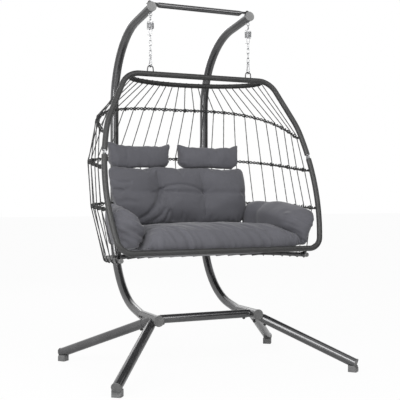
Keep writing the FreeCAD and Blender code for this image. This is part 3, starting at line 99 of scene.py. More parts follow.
# Hanging gear, in millimetres
HANG_Y = -37.0
BOLT_PLACE = (-30.26, 1929.18)
EYE_RING_Z = -36.3
EYE_RADIUS = 8.75
EYE_WIRE = 2.25
SHANK_RADIUS = 4.0
SPRING_FOOT = 1817.01
SPRING_HEAD = 1850.99
SPRING_RADIUS = 17.0
SPRING_TURNS = 4.5
SPRING_STEP_DEG = 12.0
DRAWBAR_CROWN = 1859.79
DRAWBAR_WIRE = 2.0
LOWER_APEX = 1778.61
TAIL_WIRE = 1.2
SMALL_LINK = (14.0, 4.5)
SMALL_LINK_WIRE = 1.75
SMALL_LINK_TOPS = {"top_link": 1888.94, "joining_link": 1878.74}
CHAIN_TOP = 1782.91
CHAIN_STEP = 26.8
CHAIN_LINK = (31.1, 6.3)
HOOK_WIDE = (1628.71, 14.5)
HOOK_NARROW = (1669.71, 7.5)
HOOK_LEAN_DEG = 9.83
HOOK_WIRE = 3.5
HOOK_NOSE = 3.0
GATE_HINGE = (-45.585, 1664.1)
GATE_TIP = (-50.72, 1634.44)
PITCH_Z = 1621.26

# Basket, in millimetres. A bend of the loop is its radius, its last heading and its step in degrees
LOOP_LOW = (0.0, -348.018, 643.01)
LOOP_TILT_DEG = 18.16
LOOP_BAR_END = 507.5
LOOP_BENDS = ((77.0, 78.0, 8.0), (1353.0, 103.7, 1.5), (424.0, 116.0, 3.0))
LOOP_STRAIGHT = 190.0
LOOP_TOP_BEND = 112.0
HINGE_S = 527.0
COVER_END = 10.5
UPPER_COVER_END = 14.0
TOP_BAR_Z = 1575.96
HANGING_EYE_HALF = 15.75
HANGING_EYE_WIRE = 3.25
UP_SLOPE = Vector((0, math.sin(math.radians(LOOP_TILT_DEG)), math.cos(math.radians(LOOP_TILT_DEG))))

# Arcs and rails: the right end, two handles of the curve seen from above, and the climb to the rear
ARCS = {
    "upper": ((580.15, -97.46, 1257.0), (600.0, 300.0), (150.0, 240.0), 0.481),
    "middle": ((610.21, -161.22, 1070.0), (555.0, 40.0), (727.0, 395.0), 0.132),
    "lower": ((609.2, -231.1, 859.0), (600.0, 10.0), (650.0, 355.0), 0.047),
}
TOP_RAIL = ((386.0, -11.0, 1567.96), (400.0, 120.0), (200.0, 200.0), -0.04)
SEAT_RAIL = ((540.0, -266.02, 602.01), (554.0, 74.0), (504.0, 298.0), -0.033)
ARC_STEPS = 20

# Rails, cords and ropes, in metres. A twist is a length of one turn
TOP_RAIL_RADIUS = 0.013
SEAT_RAIL_RADIUS = 0.0125
CORD_TWIST = 0.044
CORD_STEP = 0.0032
ROPE_TWIST = 0.014
ROPE_STEP = 0.0024
ROPE_COUNT = 26
SEAT_ROPE_REACH = 0.45
NET_FRONT = (-332.33, 643.01)
TOP_KNOT = 0.0112
SEAT_KNOT = 0.0103
KNOT_SINK = 0.0006
KNOT_LEAN = 0.002
TWO_STRANDS = (0.0, 0.5)

# Camera
CAMERA_PLACE = (-1.9214, -4.1745, 0.9333)
CAMERA_YAW_DEG = 24.882
CAMERA_PITCH_DEG = -0.377
CAMERA_ROLL_DEG = 0.05
CAMERA_LENS = 74.79


class ChairSizes(bpy.types.PropertyGroup):
    """Sizes that a user would change."""

    stand_tube: bpy.props.FloatProperty(
        name="Stand tube", description="Radius of the uprights and legs", default=STAND_TUBE * MM, min=0.01,
        unit="LENGTH")
    crossbar_tube: bpy.props.FloatProperty(
        name="Lower crossbar", description="Radius of the lower crossbar", default=0.023, min=0.01,
        unit="LENGTH")
    loop_cover: bpy.props.FloatProperty(
        name="Loop cover", description="Radius of the woven cover on the basket's loop", default=0.015,
        min=0.005, unit="LENGTH")
    rope: bpy.props.FloatProperty(
        name="Net rope", description="Radius of one rope of the net", default=0.0028, min=0.001,
        unit="LENGTH")
    arc_cord: bpy.props.FloatProperty(
        name="Arc cord", description="Radius of the twisted cords of the arcs", default=0.009, min=0.003,
        unit="LENGTH")
    spring_wire: bpy.props.FloatProperty(
        name="Spring wire", description="Radius of the spring's wire", default=0.0025, min=0.001,
        unit="LENGTH")
    chain_wire: bpy.props.FloatProperty(
        name="Chain wire", description="Radius of the chain's wire", default=0.002, min=0.001, unit="LENGTH")
    cushion_swell: bpy.props.FloatProperty(
        name="Cushion swell", description="How far a cushion may swell as it fills", default=0.016, min=0.0,
        unit="LENGTH")


class ChairColours(bpy.types.PropertyGroup):
    """Colours that a user would change."""

    stand: bpy.props.FloatVectorProperty(
        name="Stand", description="Powder coat of the stand", default=(0.1, 0.1, 0.102), subtype="COLOR",
        size=3)
    basket: bpy.props.FloatVectorProperty(
        name="Basket frame", description="Powder coat of the basket", default=(0.07, 0.07, 0.072),
        subtype="COLOR", size=3)
    cover: bpy.props.FloatVectorProperty(
        name="Loop cover", description="Woven cover of the loop", default=(0.038, 0.038, 0.038),
        subtype="COLOR", size=3)
    cord: bpy.props.FloatVectorProperty(
        name="Arc cord", description="Cord twisted round the arcs", default=(0.012, 0.012, 0.012),
        subtype="COLOR", size=3)
    rope: bpy.props.FloatVectorProperty(
        name="Net rope", description="Ropes of the net", default=(0.022, 0.022, 0.022), subtype="COLOR",
        size=3)
    cap: bpy.props.FloatVectorProperty(
        name="Caps", description="Moulded caps in the tube ends", default=(0.2, 0.2, 0.2), subtype="COLOR",
        size=3)
    cushion: bpy.props.FloatVectorProperty(
        name="Cushions", description="Cloth of the cushions", default=(0.106, 0.106, 0.121),
        subtype="COLOR", size=3)


def sizes():
    return bpy.context.scene.egg_chair_sizes


def colours():
    return bpy.context.scene.egg_chair_colours


# Places and lines


def mm(x, y, z):
    return Vector((x, y, z)) * MM


def mirrored(side, point):
    """A point or direction that is given for the right side, on the side that is made."""
    return Vector((side * point[0], point[1], point[2]))


def placed(side, point):
    """The same for a point in millimetres, in metres."""
    return mirrored(side, point) * MM


def turn(angle):
    """Cosine and sine of an angle in degrees."""
    return math.cos(math.radians(angle)), math.sin(math.radians(angle))


def arc_points(centre, radius, start, end, step=5.0):
    """Points of an arc in a plane, as pairs, without its first."""
    count = max(2, math.ceil(abs(end - start) / step))
    points = []
    for i in range(1, count + 1):
        c, s = turn(start + (end - start) * i / count)
        points.append((centre[0] + radius * c, centre[1] + radius * s))
    return points


def eased(points, radius, steps=4):
    """A line of pairs whose corners are rounded."""
    made = [points[0]]
    for before, at, after in zip(points, points[1:], points[2:]):
        at = Vector(at)
        back, ahead = Vector(before) - at, Vector(after) - at
        reach = min(radius, back.length * 0.49, ahead.length * 0.49)
        start, end = at + back.normalized() * reach, at + ahead.normalized() * reach
        for i in range(steps + 1):
            t = i / steps
            made.append(tuple(start * (1 - t) ** 2 + at * (2 * t * (1 - t)) + end * t * t))
    return made + [points[-1]]


def upright_upper_line(side):
    y, z, radius, sweep = TOP_BEND
    line = [(UPRIGHT_BACK_Y, UPRIGHT_JOINT_Z + JOINT_GAP), (UPRIGHT_BACK_Y, z)]
    line += arc_points((y, z), radius, 0, sweep) + [TIP]
    return [mm(side * UPRIGHT_X, *p) for p in line]


def upright_lower_line(side):
    y, z, radius, sweep = LOW_BEND
    line = [(UPRIGHT_BACK_Y, UPRIGHT_JOINT_Z - JOINT_GAP), (UPRIGHT_BACK_Y, z)]
    line += arc_points((y, z), radius, 0, -sweep)
    line += arc_points(LAST_BEND[:2], LAST_BEND[2], -sweep, -90, 3.0)[1:] + [(UPRIGHT_FOOT_Y, HUB_Z)]
    return [mm(side * UPRIGHT_X, *p) for p in line]


def leg_heading(foot):
    """Direction of a leg of the right side, from the hub to its foot."""
    return (Vector(foot) - Vector(LEG_APEX)).normalized()


def leg_point(foot, distance):
    return Vector(LEG_APEX) + leg_heading(foot) * distance


def loop_half():
    """Right half of the loop in its own plane: across, and up the slope."""
    line = [(LOOP_BAR_END, 0.0)]
    heading = 0.0
    for radius, until, step in LOOP_BENDS:
        x, s = line[-1]
        c, d = turn(heading)
        line += arc_points((x - radius * d, s + radius * c), radius, heading - 90, until - 90, step)
        heading = until
    x, s = line[-1]
    c, d = turn(heading)
    line.append((x + LOOP_STRAIGHT * c, s + LOOP_STRAIGHT * d))
    x, s = line[-1]
    centre = (x - LOOP_TOP_BEND * d, s + LOOP_TOP_BEND * c)
    return line + arc_points(centre, LOOP_TOP_BEND, heading - 90, 90, 6.0)


def loop_place(pair):
    return (Vector(LOOP_LOW) + Vector((pair[0], 0, 0)) + UP_SLOPE * pair[1]) * MM


def loop_x(line, s):
    """How far across the loop is at a distance up its slope."""
    for (x0, s0), (x1, s1) in zip(line, line[1:]):
        if s0 <= s <= s1 and s1 > s0:
            return x0 + (x1 - x0) * (s - s0) / (s1 - s0)
    return line[-1][0]


def loop_lower_line(end_gap):
    half = loop_half()
    limit = HINGE_S - end_gap
    right = [p for p in half if p[1] < limit - 1.0] + [(loop_x(half, limit), limit)]
    middle = [(-x, s) for x, s in reversed(right)]
    return [loop_place(p) for p in middle + right]


def loop_upper_line(end_gap):
    half = loop_half()
    limit = HINGE_S + end_gap
    right = [(loop_x(half, limit), limit)] + [p for p in half if p[1] > limit + 1.0]
    return [loop_place(p) for p in right + [(-x, s) for x, s in reversed(right)]]


def arc_line(shape, steps=ARC_STEPS):
    """Centre line of an arc or rail from its right end round the back to its left end."""
    (x, y, z), handle, back, rise = shape
    ends = [Vector((x, y)), Vector(handle), Vector(back), Vector((0.0, back[1]))]
    right = []
    for i in range(steps + 1):
        t = i / steps
        weights = ((1 - t) ** 3, 3 * t * (1 - t) ** 2, 3 * t * t * (1 - t), t ** 3)
        p = sum((e * w for e, w in zip(ends, weights)), Vector((0.0, 0.0)))
        right.append(Vector((p.x, p.y, z + rise * (p.y - y))) * MM)
    return right + [Vector((-p.x, p.y, p.z)) for p in reversed(right[:-1])]


def place_at(line, share):
    """A point at a share of a line's length, the level direction outwards there, and the line's own."""
    rest = share * sum((b - a).length for a, b in zip(line, line[1:]))
    for a, b in zip(line, line[1:]):
        step = (b - a).length
        if rest <= step:
            break
        rest -= step
    along = (b - a).normalized()
    outward = Vector((-along.y, along.x, 0)).normalized()
    if outward.dot(a - Vector((0, line[0].y, a.z))) < 0:
        outward = -outward
    return a + along * rest, outward, along


def resampled(points, step):
    """Evenly spaced points along a line."""
    total = sum((b - a).length for a, b in zip(points, points[1:]))
    count = max(2, round(total / step))
    made = []
    index, used = 0, 0.0
    for i in range(count + 1):
        target = total * i / count
        while index < len(points) - 2 and used + (points[index + 1] - points[index]).length < target:
            used += (points[index + 1] - points[index]).length
            index += 1
        a, b = points[index], points[index + 1]
        made.append(a.lerp(b, min(1.0, (target - used) / max((b - a).length, 1e-9))))
    return made


def twisted(points, offset, pitch, phase, step):
    """A strand that winds round a line of points."""
    line = resampled(points, step)
    along = (line[1] - line[0]).normalized()
    across = along.orthogonal().normalized()
    strand = []
    gone = 0.0
    for i, point in enumerate(line):
        if i > 0:
            gone += (point - line[i - 1]).length
        ahead = (line[min(i + 1, len(line) - 1)] - line[max(i - 1, 0)]).normalized()
        across = (across - ahead * across.dot(ahead)).normalized()
        c, s = turn(360.0 * (gone / pitch + phase))
        strand.append(point + (across * c + ahead.cross(across) * s) * offset)
    return strand


# Modelling


def pick(*objects):
    """Leaves only these objects selected, the first one active."""
    if bpy.context.object is not None and bpy.context.object.mode != "OBJECT":
        bpy.ops.object.mode_set(mode="OBJECT")
    bpy.ops.object.select_all(action="DESELECT")
    for obj in objects:
        obj.select_set(True)
    if objects:
        bpy.context.view_layer.objects.active = objects[0]


def edit_all(obj):
    """Opens a mesh in edit mode with all of it selected."""
    pick(obj)
    bpy.ops.object.mode_set(mode="EDIT")
    bpy.ops.mesh.select_all(action="SELECT")


def clean(obj, near=1e-5):
    """Merges what lies on each other and turns every face outwards."""
    edit_all(obj)
    bpy.ops.mesh.remove_doubles(threshold=near)
    bpy.ops.mesh.normals_make_consistent(inside=False)
    bpy.ops.object.mode_set(mode="OBJECT")
    return obj


def added(name, mesh):
    """A new object for a mesh."""
    obj = bpy.data.objects.new(name, mesh)
    bpy.context.collection.objects.link(obj)
    return obj


def measure_along(obj, line, radius, closed):
    """Gives a swept piece a map in metres: along its line, and round it."""
    lengths = [0.0]
    for a, b in zip(line, line[1:] + line[:1] if closed else line[1:]):
        lengths.append(lengths[-1] + (b - a).length)
    layer = obj.data.uv_layers[0]
    layer.name = "Length"
    values = [0.0] * (2 * len(layer.data))
    layer.data.foreach_get("uv", values)
    last = len(lengths) - 1
    for i in range(0, len(values), 2):
        spot = min(max(values[i], 0.0), 1.0) * last
        low = min(int(spot), last - 1)
        values[i] = lengths[low] + (lengths[low + 1] - lengths[low]) * (spot - low)
        values[i + 1] *= 2 * math.pi * radius
    layer.data.foreach_set("uv", values)


def swept(lines, radius, round_steps, closed=False, radii=None):
    """Round bars along lines of points, as one mesh."""
    pick()
    bpy.ops.curve.primitive_nurbs_path_add(location=(0, 0, 0))
    curve = bpy.context.object.data
    curve.splines.clear()
    for line in lines:
        spline = curve.splines.new("POLY")
        spline.points.add(len(line) - 1)
        spline.points.foreach_set("co", [c for p in line for c in (p[0], p[1], p[2], 1.0)])
        if radii:
            spline.points.foreach_set("radius", [r / radius for r in radii])
        spline.use_cyclic_u = closed
    curve.dimensions = "3D"
    curve.twist_mode = "MINIMUM"
    curve.bevel_depth = radius
    curve.bevel_resolution = round_steps
    curve.use_fill_caps = not closed
    bpy.ops.object.convert(target="MESH")
    obj = bpy.context.object
    if len(lines) == 1:
        measure_along(obj, lines[0], radius, closed)
    return clean(obj)


def joined(objects):
    pick(*objects)
    bpy.ops.object.join()
    return bpy.context.object


def turned(profile, seat, axis, steps=32):
    """A turned piece: pairs of height and radius in millimetres, spun about an axis from its seat."""
    axis = axis.normalized()
    side = axis.orthogonal().normalized()
    points = [seat + axis * (h * MM) + side * (r * MM) for h, r in profile]
    mesh = bpy.data.meshes.new("profile")
    mesh.from_pydata(points, [(i, i + 1) for i in range(len(points) - 1)], [])
    obj = added("profile", mesh)
    edit_all(obj)
    bpy.ops.mesh.spin(steps=steps, angle=2 * math.pi, center=seat, axis=axis)
    bpy.ops.object.mode_set(mode="OBJECT")
    return clean(obj)


def bar(start, end, radius, sides):
    """A straight round bar with closed ends."""
    run = end - start
    pick()
    bpy.ops.mesh.primitive_cylinder_add(
        vertices=sides, radius=radius, depth=run.length, location=(start + end) / 2,
        rotation=run.to_track_quat("Z", "Y").to_euler())
    bpy.ops.object.transform_apply(location=True, rotation=True, scale=True)
    return bpy.context.object


def use_modifier(obj, kind, **values):
    """Adds a modifier, sets it and applies it."""
    pick(obj)
    modifier = obj.modifiers.new(kind.title(), kind)
    for name, value in values.items():
        setattr(modifier, name, value)
    bpy.ops.object.modifier_apply(modifier=modifier.name)
    return obj


def softened(obj, width, angle=30.0, segments=2):
    """Rounds the edges that are sharper than an angle."""
    return use_modifier(obj, "BEVEL", width=width, segments=segments, limit_method="ANGLE",
                        angle_limit=math.radians(angle), use_clamp_overlap=True)


def smoothed(obj, times):
    return use_modifier(obj, "SMOOTH", factor=0.5, iterations=times)


def ringed(rings):
    """A closed skin over outlines of equally many points, extruded ring by ring."""
    pick()
    bpy.ops.mesh.primitive_circle_add(vertices=len(rings[0]), radius=0.01, fill_type="NGON")
    obj = bpy.context.object
    edit_all(obj)
    for _ in rings[1:]:
        bpy.ops.mesh.extrude_region_move(TRANSFORM_OT_translate={"value": (0, 0, 0.01)})
    bpy.ops.object.mode_set(mode="OBJECT")
    obj.data.vertices.foreach_set("co", [c for ring in rings for p in ring for c in p])
    return clean(obj, 1e-7)


def solid_copy(node, near):
    """A copy of a solid from the frame, with merged corners."""
    return clean(added(node + "_copy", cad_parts[node].data.copy()), near)


def softened_copy(node, width, angle=30.0, segments=2):
    """A copy of a solid with whole faces and rounded edges."""
    obj = solid_copy(node, 2e-6)
    edit_all(obj)
    bpy.ops.mesh.dissolve_limited(angle_limit=math.radians(1.0))
    bpy.ops.object.mode_set(mode="OBJECT")
    return softened(obj, width, angle, segments)


def finished(obj, name, kind, body, nodes=(), smooth=38.0):
    """Names a piece, gives it a finish of FINISHES and fixes it to its body."""
    obj.name = name
    obj.data.name = name
    obj.data.materials.clear()
    obj.data.materials.append(finish_of(kind))
    pick(obj)
    bpy.ops.object.shade_smooth_by_angle(angle=math.radians(smooth))
    if body:
        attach(obj, body)
    if nodes:
        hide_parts(*nodes)
    return obj


# Finishes


def feed(tree, node, inputs):
    """Fills a node's inputs: another node's output is linked, and anything else is a value."""
    for name, value in inputs.items():
        if isinstance(value, bpy.types.NodeSocket):
            tree.links.new(value, node.inputs[name])
        else:
            node.inputs[name].default_value = value


def add_node(tree, kind, inputs=None, **settings):
    """Adds a shader node with its own settings and its inputs."""
    made = tree.nodes.new(kind)
    for name, value in settings.items():
        setattr(made, name, value)
    feed(tree, made, inputs or {})
    return made


def blank_finish(name, values):
    """A new material, its tree and its shader with some values set."""
    material = bpy.data.materials.new(name)
    material.use_nodes = True
    tree = material.node_tree
    shader = tree.nodes["Principled BSDF"]
    feed(tree, shader, values)
    return material, tree, shader


def shaded(colour, factor):
    return tuple(min(1.0, c * factor) for c in colour) + (1.0,)


def grey(value):
    return (value, value, value, 1.0)


def place_on_object(tree):
    return add_node(tree, "ShaderNodeTexCoord").outputs["Object"]


def length_on_object(tree):
    """The map that measure_along gives a swept piece."""
    return add_node(tree, "ShaderNodeUVMap", uv_map="Length").outputs["UV"]


def noise_on(tree, place, scale, detail=2.0, roughness=0.5):
    values = {"Vector": place, "Scale": scale, "Detail": detail, "Roughness": roughness}
    return add_node(tree, "ShaderNodeTexNoise", values).outputs["Fac"]


def bands_on(tree, place, rotation, scale, distortion=0.0, detail=2.0, detail_scale=1.0):
    """Even bands across a direction."""
    spun = add_node(tree, "ShaderNodeMapping", {"Vector": place, "Rotation": rotation})
    values = {"Vector": spun.outputs["Vector"], "Scale": scale, "Distortion": distortion, "Detail": detail,
              "Detail Scale": detail_scale}
    return add_node(tree, "ShaderNodeTexWave", values).outputs["Fac"]


def ramp_between(tree, factor, low, high, start=0.3, end=0.7):
    """Two colours along a factor."""
    made = add_node(tree, "ShaderNodeValToRGB", {"Fac": factor})
    for element, position, colour in zip(made.color_ramp.elements, (start, end), (low, high)):
        element.position = position
        element.color = colour
    return made.outputs["Color"]


def veiled(tree, tint, factor, darkest):
    """A tint that is a little darker in patches."""
    veil = ramp_between(tree, factor, grey(darkest), grey(1.0))
    made = add_node(tree, "ShaderNodeMix", data_type="RGBA", blend_type="MULTIPLY")
    feed(tree, made, {0: 1.0, 6: tint, 7: veil})
    return made.outputs[2]


def numbers_between(tree, factor, low, high):
    values = {"Value": factor, "From Min": 0.25, "From Max": 0.75, "To Min": low, "To Max": high}
    return add_node(tree, "ShaderNodeMapRange", values).outputs["Result"]


def bump_on(tree, height, strength, distance, before=None):
    made = add_node(tree, "ShaderNodeBump", {"Height": height, "Strength": strength, "Distance": distance})
    if before:
        feed(tree, made, {"Normal": before})
    return made.outputs["Normal"]


def powder_coat(name, colour, roughness=0.17):
    """Metallic powder coat: faint orange peel, faint cloudiness, a clear gloss over it."""
    material, tree, shader = blank_finish(name, {
        "Metallic": 0.72, "Coat Weight": 0.3, "Coat Roughness": 0.08})
    place = place_on_object(tree)
    cloud = noise_on(tree, place, 9.0, 3.0)
    grain = noise_on(tree, place, 900.0, 1.0)
    feed(tree, shader, {
        "Base Color": ramp_between(tree, cloud, shaded(colour, 0.86), shaded(colour, 1.14)),
        "Roughness": numbers_between(tree, cloud, roughness - 0.03, roughness + 0.05),
        "Normal": bump_on(tree, grain, 0.012, 0.0003),
    })
    return material


def woven_cover(name, colour):
    """Flat strips in a herringbone along the loop, with painted shade where the strips dip and a painted
    highlight on their crests.
    """
    material, tree, shader = blank_finish(name, {
        "Roughness": 0.36, "Specular IOR Level": 0.35, "Coat Weight": 0.12, "Coat Roughness": 0.2})
    cells_per_metre = 92.0
    place = length_on_object(tree)
    bands = [bands_on(tree, place, (0, 0, math.radians(angle)), cells_per_metre) for angle in (45.0, -45.0)]
    cells = add_node(tree, "ShaderNodeTexChecker", {"Vector": place, "Scale": cells_per_metre})
    chosen = add_node(tree, "ShaderNodeMix", data_type="FLOAT")
    feed(tree, chosen, {0: cells.outputs["Fac"], 2: bands[0], 3: bands[1]})
    strips = chosen.outputs[0]
    # painted shade and highlight: the strips' colour runs from dark in their dips to light on their crests,
    # by the same wave as their bump
    tint = ramp_between(tree, strips, shaded(colour, 0.3), shaded(colour, 1.6), 0.1, 0.75)
    cloud = noise_on(tree, place_on_object(tree), 30.0)
    feed(tree, shader, {
        "Base Color": veiled(tree, tint, cloud, 0.8),
        "Normal": bump_on(tree, strips, 0.55, 0.0006),
    })
    return material


def wound_cord(name, colour):
    """A cord wound round a rail, turn beside turn, with painted shade in the grooves between turns and
    lighter crests.
    """
    material, tree, shader = blank_finish(name, {"Roughness": 0.5})
    lean = (0, 0, math.radians(3.5))
    turns = bands_on(tree, length_on_object(tree), lean, 70.0, 0.6, 1.0)
    # painted shade: the colour is dark in the grooves between turns and lighter on their crests, by the same
    # bands as the bump
    feed(tree, shader, {
        "Base Color": ramp_between(tree, turns, shaded(colour, 0.35), shaded(colour, 1.3), 0.1, 0.8),
        "Normal": bump_on(tree, turns, 0.7, 0.0012),
    })
    return material


def twisted_cord(name, colour, roughness=0.55):
    """Fibres of a synthetic cord."""
    material, tree, shader = blank_finish(name, {"Roughness": roughness, "Sheen Weight": 0.08})
    place = place_on_object(tree)
    fibre = noise_on(tree, place, 900.0, 3.0, 0.6)
    tint = ramp_between(tree, fibre, shaded(colour, 0.7), shaded(colour, 1.35))
    feed(tree, shader, {
        "Base Color": veiled(tree, tint, noise_on(tree, place, 40.0), 0.82),
        "Normal": bump_on(tree, fibre, 0.35, 0.0004),
    })
    return material


def zinc_plate(name):
    """Bright zinc with faint crystals and small wear."""
    material, tree, shader = blank_finish(name, {"Metallic": 1.0})
    place = place_on_object(tree)
    crystals = add_node(tree, "ShaderNodeTexVoronoi", {"Vector": place, "Scale": 260.0})
    cloud = noise_on(tree, place, 60.0, 3.0)
    tint = ramp_between(tree, crystals.outputs["Color"], (0.4, 0.405, 0.415, 1), (0.6, 0.605, 0.615, 1))
    feed(tree, shader, {
        "Base Color": veiled(tree, tint, cloud, 0.78),
        "Roughness": numbers_between(tree, cloud, 0.22, 0.42),
        "Normal": bump_on(tree, noise_on(tree, place, 700.0), 0.08, 0.0003),
    })
    return material


def moulded(name, colour, roughness, grain=0.18):
    """Moulded plastic or rubber with a fine spark texture."""
    material, tree, shader = blank_finish(name, {})
    place = place_on_object(tree)
    cloud = noise_on(tree, place, 35.0)
    feed(tree, shader, {
        "Base Color": ramp_between(tree, cloud, shaded(colour, 0.88), shaded(colour, 1.1)),
        "Roughness": numbers_between(tree, cloud, roughness - 0.06, roughness + 0.06),
        "Normal": bump_on(tree, noise_on(tree, place, 1100.0, 3.0), grain, 0.0004),
    })
    return material


def cushion_cloth(name, colour):
    """Plain-woven polyester cloth: threads both ways, slubs and a soft sheen."""
    material, tree, shader = blank_finish(name, {
        "Roughness": 0.86, "Sheen Weight": 0.22, "Sheen Roughness": 0.45})
    place = place_on_object(tree)
    square = math.radians(90)
    weave = None
    for rotation in ((0, 0, 0), (0, square, 0), (0, 0, square)):
        threads = bands_on(tree, place, rotation, 190.0, 1.2, 1.0, 2.0)
        if weave:
            threads = add_node(tree, "ShaderNodeMath", {0: weave, 1: threads}, operation="ADD").outputs[0]
        weave = threads
    slubs = noise_on(tree, place, 420.0, 3.0, 0.65)
    tint = ramp_between(tree, slubs, shaded(colour, 0.86), shaded(colour, 1.14))
    feed(tree, shader, {
        "Base Color": veiled(tree, tint, noise_on(tree, place, 7.0, 3.0), 0.9),
        "Normal": bump_on(tree, weave, 0.16, 0.0004, bump_on(tree, slubs, 0.22, 0.0008)),
    })
    return material


# Each finish: the slot that it fills, and how it is made
FINISHES = {
    "stand": ("stand_paint", lambda: powder_coat("stand_powder_coat", colours().stand)),
    "basket": ("frame_paint", lambda: powder_coat("basket_powder_coat", colours().basket, 0.3)),
    "cover": ("woven_wrap", lambda: woven_cover("woven_loop_cover", colours().cover)),
    "wound": ("arc_rope", lambda: wound_cord("cord_wound_on_rails", colours().cord)),
    "cord": ("arc_rope", lambda: twisted_cord("twisted_arc_cord", colours().cord, 0.45)),
    "rope": ("net_rope", lambda: twisted_cord("net_rope", colours().rope)),
    "zinc": ("zinc", lambda: zinc_plate("zinc_plate")),
    "cap": ("cap_plastic", lambda: moulded("cap_plastic", colours().cap, 0.5)),
    "dark_cap": ("cap_plastic", lambda: moulded("dark_cap_plastic", shaded(colours().cap, 0.6)[:3], 0.45)),
    "dark_plastic": ("cap_plastic", lambda: moulded("dark_plastic", grey(0.018)[:3], 0.42)),
    "rubber": ("foot_rubber", lambda: moulded("foot_rubber", grey(0.15)[:3], 0.5, 0.3)),
    "cloth": ("cushion_fabric", lambda: cushion_cloth("cushion_cloth", colours().cushion)),
}
made_finishes = {}


def finish_of(kind):
    """A finish by its name, made once."""
    if kind not in made_finishes:
        made_finishes[kind] = FINISHES[kind][1]()
    return made_finishes[kind]


# Stand


class EGGCHAIR_OT_stand_tubes(bpy.types.Operator):
    """Bend the uprights and set the legs and the lower crossbar"""

    bl_idname = "eggchair.stand_tubes"
    bl_label = "Stand tubes"

    def execute(self, context):
        for name, side in SIDES.items():
            tubes = {"_upper_bent_tube": (upright_upper_line(side), "_upright_upper"),
                     "_lower_bent_tube": (upright_lower_line(side), "_upright_lower")}
            for end, foot in LEG_ENDS.items():
                line = [placed(side, point) for point in (leg_point(foot, LEG_START), foot)]
                tubes["_" + end + "_leg_tube"] = (line, "_" + end + "_leg")
            for piece, (line, node) in tubes.items():
                tube = swept([line], sizes().stand_tube, 10)
                finished(tube, name + piece, "stand", "stand", [name + node])
        ends = [mm(x, LEG_APEX[1], HUB_Z) for x in (-LOWER_BAR_END, LOWER_BAR_END)]
        crossbar = swept([ends], sizes().crossbar_tube, 10)
        finished(crossbar, "lower_crossbar_tube", "stand", "stand", ["lower_crossbar"])
        return {"FINISHED"}


def tip_matrix(side):
    """Where a piece at the upright's tip goes, from its level drawing."""
    place = Matrix.Translation(mm(side * UPRIGHT_X, *BOLT_PLACE))
    return place @ Matrix.Rotation(math.radians(-TIP_TILT_DEG), 4, "X")


class EGGCHAIR_OT_upper_crossbar(bpy.types.Operator):
    """Press the ends of the upper crossbar flat on the uprights"""

    bl_idname = "eggchair.upper_crossbar"
    bl_label = "Upper crossbar"

    def execute(self, context):
        around, taper_steps = 32, 6
        stations = [(-x, 1.0) for x in UPPER_BAR_FLATS]
        for i in range(1, taper_steps + 1):
            stations.append((-UPPER_BAR_FLATS[-1] + UPPER_BAR_TAPER * i / taper_steps, 1 - i / taper_steps))
        stations += [(-x, pressed) for x, pressed in reversed(stations)]
        low, high = UPPER_BAR_HEIGHTS
        rings = []
        for x, pressed in stations:
            ease = pressed * pressed * (3 - 2 * pressed)
            wide, thick = (UPPER_BAR_RADIUS + (flat - UPPER_BAR_RADIUS) * ease for flat in UPPER_BAR_FLAT)
            height = low + (high - low) * ease
            if abs(x) == UPPER_BAR_FLATS[0]:
                wide *= UPPER_BAR_LAST_WIDTH
            ring = []
            for k in range(around):
                c, s = turn(360.0 * k / around)
                ring.append(tip_matrix(0) @ mm(x, wide * c, height + thick * s))
            rings.append(ring)
        finished(ringed(rings), "upper_crossbar_tube", "stand", "stand", ["upper_crossbar"], smooth=50.0)
        return {"FINISHED"}


class EGGCHAIR_OT_hubs(bpy.types.Operator):
    """Weld each hub from its tube and its three necks"""

    bl_idname = "eggchair.hubs"
    bl_label = "Hubs"

    def execute(self, context):
        tube_ends = [(UPRIGHT_X, y, HUB_Z) for y in HUB_ENDS]
        bar_neck_end = (LOWER_BAR_END - NECK_OVERLAP, LEG_APEX[1], HUB_Z)
        arms = [(tube_ends[0], tube_ends[1], HUB_RADIUS)]
        for foot in LEG_ENDS.values():
            arms.append((LEG_APEX, leg_point(foot, LEG_START + NECK_OVERLAP), NECK_RADIUS))
        arms.append((LEG_APEX, bar_neck_end, BAR_NECK_RADIUS))
        for name, side in SIDES.items():
            hub = joined([bar(placed(side, a), placed(side, b), radius * MM, 40) for a, b, radius in arms])
            hub.data.remesh_voxel_size = 0.0022
            bpy.ops.object.voxel_remesh()
            smoothed(hub, 6)
            finished(hub, name + "_welded_hub", "stand", "stand", [name + "_hub"], smooth=60.0)
        return {"FINISHED"}


def cap_at(seat, outward, tube_radius):
    """One moulded cap with a softened rim and a shallow dish."""
    rim = tube_radius + 2.0
    profile = [(0.0, 0.0), (0.0, rim), (3.3, rim), (4.5, rim - 0.5), (5.0, rim - 1.6), (5.0, rim - 5.0),
               (4.4, rim - 6.0), (4.2, rim - 8.0), (4.4, 0.0)]
    return turned(profile, seat, outward, 40)


class EGGCHAIR_OT_end_caps(bpy.types.Operator):
    """Turn the moulded caps in the open tube ends"""

    bl_idname = "eggchair.end_caps"
    bl_label = "End caps"

    def execute(self, context):
        caps, tips = [], []
        c, s = turn(TIP_TILT_DEG)
        for side in SIDES.values():
            tips.append(cap_at(mm(side * UPRIGHT_X, *TIP), Vector((0, -c, s)), STAND_TUBE))
            caps.append(cap_at(mm(side * UPRIGHT_X, HUB_ENDS[0], HUB_Z), Vector((0, -1, 0)), HUB_RADIUS))
            for foot in LEG_ENDS.values():
                caps.append(cap_at(placed(side, foot), mirrored(side, leg_heading(foot)), STAND_TUBE))
        finished(joined(tips), "caps_at_upright_tips", "cap", "stand", ["tube_end_caps"], smooth=32.0)
        finished(joined(caps), "caps_at_hubs_and_legs", "dark_cap", "stand", smooth=32.0)
        return {"FINISHED"}


class EGGCHAIR_OT_foot_pads(bpy.types.Operator):
    """Soften the edges of the rubber feet"""

    bl_idname = "eggchair.foot_pads"
    bl_label = "Foot pads"

    def execute(self, context):
        pads = softened_copy("foot_pads", 0.0022, 40.0, 3)
        finished(pads, "rubber_foot_blocks", "rubber", "stand", ["foot_pads"], smooth=34.0)
        return {"FINISHED"}


